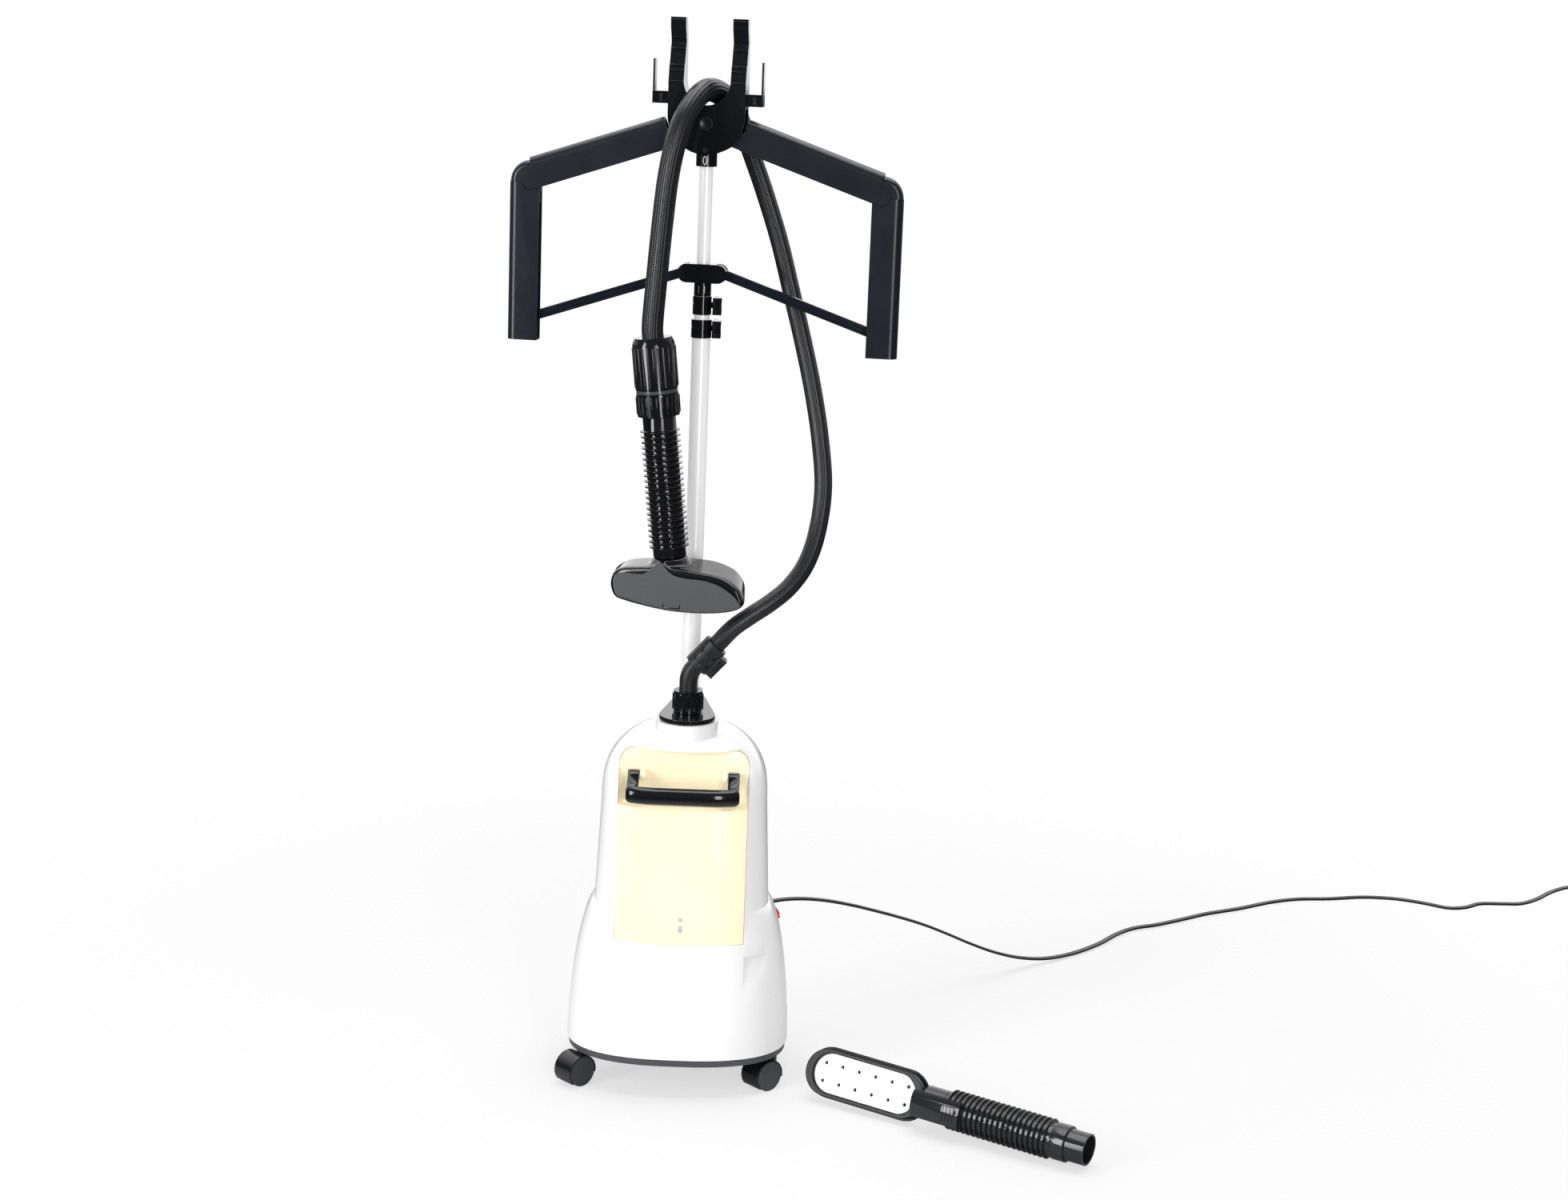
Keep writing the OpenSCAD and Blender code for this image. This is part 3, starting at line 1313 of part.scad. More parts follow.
cord_coil();
plug();
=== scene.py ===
import json
import math
import bpy
from mathutils import Matrix, Vector


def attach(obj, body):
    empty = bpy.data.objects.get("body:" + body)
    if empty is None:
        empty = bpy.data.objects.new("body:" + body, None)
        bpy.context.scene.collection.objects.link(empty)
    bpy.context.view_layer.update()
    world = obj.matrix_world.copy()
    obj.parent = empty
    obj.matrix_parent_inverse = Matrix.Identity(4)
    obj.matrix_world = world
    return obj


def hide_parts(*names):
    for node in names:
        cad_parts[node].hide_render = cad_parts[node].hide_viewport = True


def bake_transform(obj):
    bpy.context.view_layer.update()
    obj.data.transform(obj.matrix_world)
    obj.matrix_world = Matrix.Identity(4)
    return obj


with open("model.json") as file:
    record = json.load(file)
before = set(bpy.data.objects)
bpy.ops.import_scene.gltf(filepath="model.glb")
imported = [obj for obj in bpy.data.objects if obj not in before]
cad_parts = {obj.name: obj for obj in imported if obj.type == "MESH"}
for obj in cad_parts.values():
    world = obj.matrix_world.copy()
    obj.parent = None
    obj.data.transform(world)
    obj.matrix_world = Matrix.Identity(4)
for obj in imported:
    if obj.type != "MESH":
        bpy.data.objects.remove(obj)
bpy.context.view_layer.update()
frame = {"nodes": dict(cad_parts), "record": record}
nodes = frame["nodes"]
mm = 0.001
bodyOfNode = {n: b for b, ns in frame["record"]["behaviour"]["bodies"].items() for n in ns}
smoothAngle = math.radians(40)  # faces that meet at less than this shade as one
print("frame loaded:", len(nodes), "nodes")


# hand tools that the pieces share
def deselectAll():
    if bpy.context.object and bpy.context.object.mode != "OBJECT":
        bpy.ops.object.mode_set(mode="OBJECT")
    bpy.ops.object.select_all(action="DESELECT")


def takeUp(piece):
    deselectAll()
    piece.select_set(True)
    bpy.context.view_layer.objects.active = piece


def meshPiece(name, verts, faces):
    data = bpy.data.meshes.new(name)
    data.from_pydata(verts, [], faces)
    piece = bpy.data.objects.new(name, data)
    bpy.context.collection.objects.link(piece)
    takeUp(piece)
    return piece


def breakEdges(piece, width, segments=2, sharp=40):
    bevel = piece.modifiers.new("edges", "BEVEL")
    bevel.limit_method = "ANGLE"
    bevel.angle_limit = math.radians(sharp)
    bevel.width = width * mm
    bevel.segments = segments
    bevel.harden_normals = segments > 2  # wide flats stay flat beside the broken edges
    bpy.ops.object.modifier_apply(modifier="edges")


# shader nodes: made with their values, then wired by socket
def setInputs(node, values):
    for socket, value in values.items():
        node.inputs[socket].default_value = value


def addNode(tree, kind, values=None, **options):
    node = tree.nodes.new("ShaderNode" + kind)
    for option, value in options.items():
        setattr(node, option, value)
    setInputs(node, values or {})
    return node


def mapRange(tree, source=(0, 1), target=(0, 1), easing="LINEAR"):
    values = {"From Min": source[0], "From Max": source[1], "To Min": target[0], "To Max": target[1]}
    return addNode(tree, "MapRange", values, interpolation_type=easing)


def toneRamp(tree, first, last, span=(0, 1)):
    tone = addNode(tree, "ValToRGB")
    for stop, colour, position in zip(tone.color_ramp.elements, (first, last), span):
        stop.position = position
        stop.color = (*colour, 1)
    return tone


def wire(tree, *links):
    for start, outlet, end, inlet in links:
        tree.links.new(start.outputs[outlet], end.inputs[inlet])


def newPaint(name):
    paint = bpy.data.materials.new(name)
    paint.use_nodes = True
    return paint, paint.node_tree, paint.node_tree.nodes["Principled BSDF"]


# camera, lamps, floor
cameraSet = {
    "place": (0.1123, -3.3137, 1.3352), "pitch": 12.5, "roll": 2.2,
    "sensor": 36.0, "focalPixels": 3500, "framePixels": 1960, "farthest": 60.0,
}


def addCamera(settings):
    pitch = math.radians(settings["pitch"])
    roll = math.radians(settings["roll"])
    ahead = Vector((0, math.cos(pitch), -math.sin(pitch)))
    rightHand = Vector((1, 0, 0))
    upward = Vector((0, math.sin(pitch), math.cos(pitch)))
    sideways = rightHand * math.cos(roll) + upward * math.sin(roll)
    over = upward * math.cos(roll) - rightHand * math.sin(roll)
    data = bpy.data.cameras.new("photoCamera")
    data.sensor_fit = "HORIZONTAL"
    data.sensor_width = settings["sensor"]
    data.lens = settings["sensor"] * settings["focalPixels"] / settings["framePixels"]
    data.clip_end = settings["farthest"]
    camera = bpy.data.objects.new("photoCamera", data)
    bpy.context.collection.objects.link(camera)
    turn = Matrix((sideways, over, -ahead)).transposed().to_4x4()
    camera.matrix_world = Matrix.Translation(settings["place"]) @ turn
    bpy.context.scene.camera = camera


lampSet = [  # name, place, aim, size, watts
    ("keyLeft", (-2.45, -2.06, 1.15), (0, 0, 0.8), (0.8, 2.0), 58),
    ("keyRight", (0.94, -3.06, 1.15), (0.1, 0, 0.8), (0.6, 2.0), 34),
    ("overhead", (0.2, 0.3, 3.3), (0.2, 0.2, 0), (3.0, 2.4), 64),
]


def addLamps(lamps):
    for name, place, aim, size, watts in lamps:
        data = bpy.data.lights.new(name, "AREA")
        data.shape = "RECTANGLE"
        data.size, data.size_y = size
        data.energy = watts
        lamp = bpy.data.objects.new(name, data)
        bpy.context.collection.objects.link(lamp)
        lamp.location = place
        lamp.rotation_euler = (Vector(aim) - Vector(place)).to_track_quat("-Z", "Y").to_euler()


roomSet = {
    "light": 0.5,
    "mirrored": (0.16, 1.6),  # gloss sees a dim room in front and a pale wall behind
    "wall": (0.1, 0.8),
    "wallWay": (0, 0.8, 0.6),
}


def addRoom(settings):
    world = bpy.data.worlds.new("paleRoom")
    bpy.context.scene.world = world
    world.use_nodes = True
    tree = world.node_tree
    background = tree.nodes["Background"]
    setInputs(background, {"Color": (1, 1, 1, 1)})
    path = addNode(tree, "LightPath")
    way = addNode(tree, "TexCoord")
    toward = addNode(tree, "VectorMath", {1: settings["wallWay"]}, operation="DOT_PRODUCT")
    behind = mapRange(tree, settings["wall"], settings["mirrored"], "SMOOTHSTEP")
    mirrored = addNode(tree, "Mix", {"A": settings["light"]})
    shown = addNode(tree, "Mix", {"B": 1.0})
    wire(
        tree,
        (way, "Generated", toward, 0),
        (toward, "Value", behind, "Value"),
        (path, "Is Glossy Ray", mirrored, "Factor"),
        (behind, "Result", mirrored, "B"),
        (path, "Is Camera Ray", shown, "Factor"),
        (mirrored, "Result", shown, "A"),
        (shown, "Result", background, "Strength"),
    )


floorSet = {
    "size": 60, "rough": 0.9, "shine": 0.1,
    "tone": 0.64, "seen": 0.3, "glow": 0.62,  # shadows read soft, but the floor still throws its light up
    "mirrored": 0.08, "mirroredFade": (0.3, 0.9),  # gloss sees only the floor close by as pale
    "middle": (0.1, 0.0, 0.0), "fade": (0.5, 1.5),  # the floor runs out to plain white
}


def addFloor(settings):
    deselectAll()
    bpy.ops.mesh.primitive_plane_add(size=settings["size"], location=(0, 0, 0))
    floor = bpy.context.object
    floor.name = "studioFloor"
    paint, tree, shader = newPaint("paleFloor")
    setInputs(shader, {"Roughness": settings["rough"], "Specular IOR Level": settings["shine"]})
    dim = settings["tone"] * settings["mirrored"]
    path = addNode(tree, "LightPath")
    place = addNode(tree, "TexCoord")
    away = addNode(tree, "VectorMath", {1: settings["middle"]}, operation="DISTANCE")
    seen = addNode(tree, "Mix", {"A": settings["tone"], "B": settings["seen"]})
    near = mapRange(tree, settings["mirroredFade"])
    dimShare = addNode(tree, "Math", operation="MULTIPLY")
    shade = addNode(tree, "Mix", {"B": (dim, dim, dim, 1)}, data_type="RGBA")
    glowShare = addNode(tree, "Math", {1: settings["glow"]}, operation="MULTIPLY")
    glow = addNode(tree, "Emission")
    both = addNode(tree, "AddShader")
    fade = mapRange(tree, settings["fade"], easing="SMOOTHSTEP")
    whiteShare = addNode(tree, "Math", operation="MULTIPLY")
    white = addNode(tree, "Emission")
    blendOut = addNode(tree, "MixShader")
    wire(
        tree,
        (place, "Object", away, 0),
        (path, "Is Camera Ray", seen, "Factor"),
        (away, "Value", near, "Value"),
        (near, "Result", dimShare, 0),
        (path, "Is Glossy Ray", dimShare, 1),
        (dimShare, 0, shade, "Factor"),
        (seen, "Result", shade, "A"),
        (shade, "Result", shader, "Base Color"),
        (path, "Is Camera Ray", glowShare, 0),
        (glowShare, 0, glow, "Strength"),
        (shader, 0, both, 0),
        (glow, 0, both, 1),
        (away, "Value", fade, "Value"),
        (fade, "Result", whiteShare, 0),
        (path, "Is Camera Ray", whiteShare, 1),
        (whiteShare, 0, blendOut, "Fac"),
        (both, 0, blendOut, 1),
        (white, 0, blendOut, 2),
        (blendOut, 0, tree.nodes["Material Output"], "Surface"),
    )
    floor.data.materials.append(paint)


addCamera(cameraSet)
addLamps(lampSet)
addRoom(roomSet)
addFloor(floorSet)
bpy.context.scene.view_settings.view_transform = "Standard"
print("camera and studio set")

# finishes: every one is moulded, drawn or painted stock with its own grain
mouldSet = {  # what the moulded finishes share, unless one says otherwise
    "cloud": 22, "cloudDetail": 4, "cloudSpan": (0.3, 0.7), "drift": 0.06,
    "smoothest": 0.03, "grainDeep": 0.0003, "metal": 0, "shine": 0.5, "coat": 0, "coatRough": 0.08,
}
finishSet = {
    "shellWhite": {
        "colour": (0.86, 0.86, 0.86), "rough": 0.24, "spread": 0.04, "grain": 900, "bump": 0.01,
        "drift": 0.008, "coat": 0.3,
    },
    "panGrey": {"colour": (0.06, 0.063, 0.07), "rough": 0.46, "spread": 0.08, "grain": 1400, "bump": 0.06},
    "blackGloss": {
        "colour": (0.0045, 0.005, 0.0065), "rough": 0.11, "spread": 0.03, "grain": 700, "bump": 0.006,
    },
    "blackSatin": {
        "colour": (0.006, 0.0095, 0.0155), "rough": 0.3, "spread": 0.06, "grain": 1600, "bump": 0.04,
    },
    "strutBlack": {
        "colour": (0.006, 0.0095, 0.0155), "rough": 0.17, "spread": 0.04, "grain": 1600, "bump": 0.02,
    },
    # the press wand's black is paler than the other gloss blacks: painted sheen standing in for the pale room
    # it reflects as it lies tipped up
    "wandBlackPaintedSheen": {
        "colour": (0.012, 0.013, 0.0155), "rough": 0.13, "spread": 0.04, "grain": 900, "bump": 0.01,
    },
    "rimBlack": {
        "colour": (0.01, 0.011, 0.013), "rough": 0.16, "spread": 0.04, "grain": 900, "bump": 0.01,
        "shine": 0.1,
    },
    "blackMatte": {
        "colour": (0.009, 0.01, 0.012), "rough": 0.46, "spread": 0.08, "grain": 1800, "bump": 0.08,
    },
    "wheelGrey": {"colour": (0.04, 0.043, 0.05), "rough": 0.26, "spread": 0.08, "grain": 1500, "bump": 0.05},
    "plateGrey": {
        "colour": (0.058, 0.06, 0.064), "rough": 0.42, "spread": 0.06, "grain": 1900, "bump": 0.05,
    },
    "ringGrey": {
        "colour": (0.055, 0.058, 0.066), "rough": 0.2, "spread": 0.06, "grain": 1200, "bump": 0.03,
    },
    "switchRed": {"colour": (0.62, 0.03, 0.04), "rough": 0.25, "spread": 0.05, "grain": 900, "bump": 0.02},
    "plateWhite": {
        "colour": (0.84, 0.84, 0.84), "rough": 0.3, "spread": 0.05, "grain": 1300, "bump": 0.02,
        "drift": 0.01,
    },
    "hoseBlack": {
        "colour": (0.011, 0.012, 0.015), "rough": 0.33, "spread": 0.08, "grain": 800, "bump": 0.05,
    },
    "cordBlack": {"colour": (0.008, 0.008, 0.01), "rough": 0.4, "spread": 0.08, "grain": 1500, "bump": 0.05},
    "markGrey": {"colour": (0.5, 0.55, 0.52), "rough": 0.4, "spread": 0.05, "grain": 900, "bump": 0.02},
    "innerWhite": {"colour": (0.72, 0.72, 0.68), "rough": 0.45, "spread": 0.08, "grain": 900, "bump": 0.04},
    "brassPlain": {
        "colour": (0.62, 0.46, 0.2), "rough": 0.35, "spread": 0.1, "grain": 600, "bump": 0.04, "metal": 1,
    },
    "castAlloy": {
        "colour": (0.55, 0.56, 0.58), "rough": 0.5, "spread": 0.1, "grain": 500, "bump": 0.15, "metal": 1,
    },
    "pinSteel": {
        "colour": (0.62, 0.62, 0.63), "rough": 0.28, "spread": 0.08, "grain": 900, "bump": 0.03, "metal": 1,
    },
}
finishes = {}


def tinted(colour, share):
    return [channel * share for channel in colour]


def mouldedFinish(name, ownSettings):
    settings = {**mouldSet, **ownSettings}
    colour, drift = settings["colour"], settings["drift"]
    smoothest = max(settings["smoothest"], settings["rough"] - settings["spread"])
    paint, tree, shader = newPaint(name)
    place = addNode(tree, "TexCoord")
    # a slow drift of tone and polish
    cloud = addNode(tree, "TexNoise", {"Scale": settings["cloud"], "Detail": settings["cloudDetail"]})
    tone = toneRamp(tree, tinted(colour, 1 - drift), tinted(colour, 1 + drift), settings["cloudSpan"])
    polish = mapRange(tree, target=(smoothest, settings["rough"] + settings["spread"]))
    grain = addNode(tree, "TexNoise", {"Scale": settings["grain"]})
    bump = addNode(tree, "Bump", {"Strength": settings["bump"], "Distance": settings["grainDeep"]})
    wire(
        tree,
        (place, "Object", cloud, "Vector"),
        (place, "Object", grain, "Vector"),
        (cloud, "Fac", tone, "Fac"),
        (tone, "Color", shader, "Base Color"),
        (cloud, "Fac", polish, "Value"),
        (polish, "Result", shader, "Roughness"),
        (grain, "Fac", bump, "Height"),
        (bump, "Normal", shader, "Normal"),
    )
    setInputs(shader, {
        "Metallic": settings["metal"], "Specular IOR Level": settings["shine"],
        "Coat Weight": settings["coat"], "Coat Roughness": settings["coatRough"],
    })
    finishes[name] = paint


poleSet = {
    "colour": (0.88, 0.88, 0.89), "drift": 0.02, "rough": 0.26, "smoother": 0.03, "rougher": 0.04,
    "metal": 0.12, "streak": (900, 900, 6), "streakDetail": 3, "bump": 0.008, "bumpDeep": 0.0002,
    "glow": 0.18,  # stands in for light off the white shell
}


def drawnTubeFinish(settings):
    colour, drift, rough = settings["colour"], settings["drift"], settings["rough"]
    paint, tree, shader = newPaint("poleSilver")
    place = addNode(tree, "TexCoord")
    stretch = addNode(tree, "Mapping", {"Scale": settings["streak"]})  # fine lines run along the tube
    lines = addNode(tree, "TexNoise", {"Scale": 1.0, "Detail": settings["streakDetail"]})
    polish = mapRange(tree, target=(rough - settings["smoother"], rough + settings["rougher"]))
    tone = toneRamp(tree, tinted(colour, 1 - drift), tinted(colour, 1 + drift))
    bump = addNode(tree, "Bump", {"Strength": settings["bump"], "Distance": settings["bumpDeep"]})
    wire(
        tree,
        (place, "Object", stretch, "Vector"),
        (stretch, "Vector", lines, "Vector"),
        (lines, "Fac", polish, "Value"),
        (polish, "Result", shader, "Roughness"),
        (lines, "Fac", tone, "Fac"),
        (tone, "Color", shader, "Base Color"),
        (tone, "Color", shader, "Emission Color"),
        (lines, "Fac", bump, "Height"),
        (bump, "Normal", shader, "Normal"),
    )
    setInputs(shader, {"Metallic": settings["metal"], "Emission Strength": settings["glow"]})
    finishes["poleSilver"] = paint


tankSet = {
    "colour": (0.99, 0.885, 0.60), "pale": (1.0, 0.93, 0.70), "cloud": 14, "cloudDetail": 3,
    "cloudSpan": (0.25, 0.75), "grain": 1100, "bump": 0.04, "bumpDeep": 0.0003, "rough": 0.2, "through": 0.1,
    "bend": 1.35, "glow": 0.1,  # light let through the thin wall
}


def tankFinish(settings):
    paint, tree, shader = newPaint("tankYellow")
    place = addNode(tree, "TexCoord")
    cloud = addNode(tree, "TexNoise", {"Scale": settings["cloud"], "Detail": settings["cloudDetail"]})
    tone = toneRamp(tree, settings["colour"], settings["pale"], settings["cloudSpan"])
    grain = addNode(tree, "TexNoise", {"Scale": settings["grain"]})
    bump = addNode(tree, "Bump", {"Strength": settings["bump"], "Distance": settings["bumpDeep"]})
    wire(
        tree,
        (place, "Object", cloud, "Vector"),
        (place, "Object", grain, "Vector"),
        (cloud, "Fac", tone, "Fac"),
        (tone, "Color", shader, "Base Color"),
        (tone, "Color", shader, "Emission Color"),
        (grain, "Fac", bump, "Height"),
        (bump, "Normal", shader, "Normal"),
    )
    setInputs(shader, {
        "Roughness": settings["rough"], "Transmission Weight": settings["through"], "IOR": settings["bend"],
        "Emission Strength": settings["glow"],
    })
    finishes["tankYellow"] = paint


for finishName, finishSettings in finishSet.items():
    mouldedFinish(finishName, finishSettings)
drawnTubeFinish(poleSet)
tankFinish(tankSet)
print("finishes made:", len(finishes))

# hose and mains cord: routes repeat the solids' points, in millimetres
hoseSet = {
    "rearRadius": 11.0,
    "frontHalf": (12.8, 14.3),  # the front run lies flatter
    "taper": 60.0,
    "ridges": 18,
    "ridge": [(0.0, 0.06), (0.3, 0.0), (0.6, 0.06), (0.8, 0.5)],  # share, depth: a round land, a groove
    "step": 5.0,
    "rear": [
        (18.2, -10, 527.9), (33, -10, 544.4), (52, -7, 565), (73, -1, 580), (96, 7, 595), (119, 18, 614),
        (138, 32, 641), (150, 47, 679), (155, 62, 730), (149, 75, 787), (138, 85, 845), (124, 93, 902),
        (108, 99, 960), (90, 104, 1024), (70, 106, 1082), (51, 105, 1131),
    ],
    "front": [
        (51, 105, 1131), (42.2, 104.5, 1153.7), (32, 99, 1176), (20, 88, 1193), (9, 73, 1201.5),
        (1, 58, 1203.5), (-6, 44, 1201.5), (-16, 29, 1190.5), (-27, 15, 1170), (-36, 7, 1140), (-43, 4, 1100),
        (-48, 4, 1048), (-52, 4, 995), (-55.2, 4, 950), (-56.4, 4, 925), (-55, 4, 909.6), (-52.7, 4, 887.7),
    ],
    "split": 870,
}


def curvePoint(a, b, c, d, t):  # a smooth curve from b to c, led by its neighbours
    return 0.5 * (
        (2 * b) + (c - a) * t
        + (2 * a - 5 * b + 4 * c - d) * t * t
        + (3 * b - a - 3 * c + d) * t ** 3
    )


def smoothRoute(points, step, fine=24):
    pts = [Vector(p) for p in points]
    pts = [pts[0] * 2 - pts[1]] + pts + [pts[-1] * 2 - pts[-2]]
    dense = []
    for k in range(1, len(pts) - 2):
        dense += [curvePoint(*pts[k - 1:k + 3], j / fine) for j in range(fine)]
    dense.append(pts[-2])
    total = sum((q - p).length for p, q in zip(dense, dense[1:]))
    count = max(2, round(total / step))
    even, walked, k = [dense[0]], 0.0, 0
    for i in range(1, count):
        goal = total * i / count
        while walked + (dense[k + 1] - dense[k]).length < goal:
            walked += (dense[k + 1] - dense[k]).length
            k += 1
        even.append(dense[k].lerp(dense[k + 1], (goal - walked) / (dense[k + 1] - dense[k]).length))
    return even + [dense[-1]]


def sweepMesh(name, route, section, startSide, sizes=None, before=None, after=None):
    verts, faces, count = [], [], len(section)
    side = Vector(startSide)
    path = [before or route[0], *route, after or route[-1]]
    for i, p in enumerate(route):
        ahead = (path[i + 2] - path[i]).normalized()
        side = (side - ahead * side.dot(ahead)).normalized()
        over = ahead.cross(side)
        deep, wide = sizes[i] if sizes else (1.0, 1.0)
        verts += [(p + side * x * deep + over * y * wide) * mm for x, y in section]
    for i in range(len(route) - 1):
        for j in range(count):
            k = (j + 1) % count
            faces.append((i * count + j, i * count + k, (i + 1) * count + k, (i + 1) * count + j))
    faces.append(tuple(range(count - 1, -1, -1)))
    faces.append(tuple((len(route) - 1) * count + j for j in range(count)))
    piece = meshPiece(name, verts, faces)
    bpy.ops.object.shade_smooth_by_angle(angle=math.radians(75))  # only the end caps stay sharp
    return piece, side


def routeLength(route):
    return sum((b - a).length for a, b in zip(route, route[1:])) * mm


def makeHose(settings):
    section = []
    for k in range(settings["ridges"]):
        for share, depth in settings["ridge"]:
            t = 2 * math.pi * (k + share) / settings["ridges"]
            r = settings["rearRadius"] - depth
            section.append((r * math.cos(t), r * math.sin(t)))
    rear = smoothRoute(settings["rear"], settings["step"])
    cut = next(i for i, p in enumerate(rear) if p.z > settings["split"])
    front = smoothRoute(settings["front"], settings["step"])
    low, side = sweepMesh("hoseLow", rear[: cut + 1], section, (0, 1, 0), after=rear[cut + 1])
    high, side = sweepMesh("hoseHigh", rear[cut:], section, side, before=rear[cut - 1], after=front[1])
    deep, wide = [v / settings["rearRadius"] - 1 for v in settings["frontHalf"]]
    shares = [min(1, i * settings["step"] / settings["taper"]) for i in range(len(front))]
    sizes = [(1 + deep * t, 1 + wide * t) for t in shares]
    over = sweepMesh("hoseOver", front, section, side, sizes, before=rear[-2])[0]
    for piece in (low, high, over):
        piece.data.materials.append(finishes["hoseBlack"])
    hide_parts("hose_rear")
    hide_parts("hose_front")
    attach(over, "upper_pole")
    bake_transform(low)
    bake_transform(high)


cordSet = {
    "wide": 7.4,
    "thick": 4.0,
    "corners": 20,
    "valley": 0.72,  # share of the thickness left between the two cores
    "valleyHalf": 0.2,
    "startSide": (-0.5, 0.86, 0),
    "step": 6.0,
    "route": [
        (76, 73, 184), (99, 88, 184), (124, 103, 185), (152, 119, 182), (182, 136, 175), (214, 158, 163),
        (248, 188, 146), (282, 221, 127), (316, 256, 106), (350, 292, 82), (384, 325, 58), (420, 356, 36),
        (458, 388, 18), (498, 419, 7), (540, 453, 4), (580, 496, 4), (612, 543, 4), (640, 572, 4),
        (676, 592, 4), (716, 620, 4), (756, 650, 4), (810, 681, 4), (862, 716, 4), (906, 736, 4),
        (956, 744, 4), (1010, 758, 4), (1060, 756, 4), (1100, 740, 4), (1132, 722, 4), (1160, 728, 4),
        (1186, 748, 4), (1220, 752, 4), (1250, 756, 4), (1280, 780, 4), (1312, 818, 4), (1342, 844, 4),
        (1370, 855, 4), (1404, 858, 4),
    ],
    "coil": {
        "middle": (1440, 806), "outer": 51.0, "pitch": 7.6, "start": 85, "end": -68, "turns": 2, "step": 12,
        "low": 4.0, "high": 10.5,
        "climbFrom": 130, "climbOver": 110,  # how long before the end it climbs and over how much, in degrees
        "plug": (1440, 750.9), "lastLeg": [(0.34, 0.33), (0.07, 0.66), (0.0, 1.0)],  # shares across and along
    },
}


def coilRoute(coil):
    middleX, middleY = coil["middle"]
    sweep = coil["start"] - coil["end"] + 360 * coil["turns"]
    points = []
    steps = round(sweep / coil["step"])
    for i in range(steps + 1):  # a flat clockwise spiral whose end climbs over the outer turns
        turned = sweep * i / steps
        radius = coil["outer"] - coil["pitch"] * turned / 360
        angle = math.radians(coil["start"] - turned)
        climb = min(1, max(0, (turned - sweep + coil["climbFrom"]) / coil["climbOver"]))
        climb = climb * climb * (3 - 2 * climb)
        height = coil["low"] + (coil["high"] - coil["low"]) * climb
        points.append((middleX + radius * math.cos(angle), middleY + radius * math.sin(angle), height))
    plugX, plugY = coil["plug"]
    lastX, lastY, lastZ = points[-1]
    for across, along in coil["lastLeg"]:
        points.append((plugX + (lastX - plugX) * across, lastY + (plugY - lastY) * along, lastZ))
    return points


def makeCord(settings):
    wide, thick = settings["wide"] / 2, settings["thick"] / 2
    section = []
    lobe = wide - thick
    for k in range(settings["corners"]):  # two cores side by side with a shallow valley between them
        t = 2 * math.pi * (k + 0.5) / settings["corners"]
        x, y = lobe * (1 if math.cos(t) > 0 else -1) + thick * math.cos(t), thick * math.sin(t)
        section.append((x, y * (settings["valley"] if abs(math.cos(t)) < settings["valleyHalf"] else 1.0)))
    route = smoothRoute(settings["route"] + coilRoute(settings["coil"]), settings["step"])
    lead = sweepMesh("mainsLead", route, section, settings["startSide"])[0]
    lead.data.materials.append(finishes["cordBlack"])
    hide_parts("cord", "cord_coil")
    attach(lead, "base")
    return lead, route


tieSet = {"middle": (1397.5, 806, 4.6), "reach": 13.4, "thick": 0.9, "broad": 2.6, "flat": 0.3}


def makeTie(settings):
    deselectAll()
    bpy.ops.mesh.primitive_torus_add(
        major_radius=settings["reach"] * mm, minor_radius=settings["thick"] * mm,
        major_segments=40, minor_segments=10,
        location=[v * mm for v in settings["middle"]], rotation=(math.pi / 2, 0, 0))
    tie = bpy.context.object
    tie.name = "coilTie"
    bpy.ops.object.transform_apply(location=False, rotation=True, scale=True)
    tie.scale = (1, settings["broad"], settings["flat"])
    bpy.ops.object.transform_apply(location=True, rotation=True, scale=True)
    bpy.ops.object.shade_smooth()
    tie.data.materials.append(finishes["innerWhite"])
    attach(tie, "base")
    return tie


makeHose(hoseSet)
mainsLead, leadRoute = makeCord(cordSet)
coilTie = makeTie(tieSet)
print("hose and lead swept", round(routeLength(leadRoute), 3))

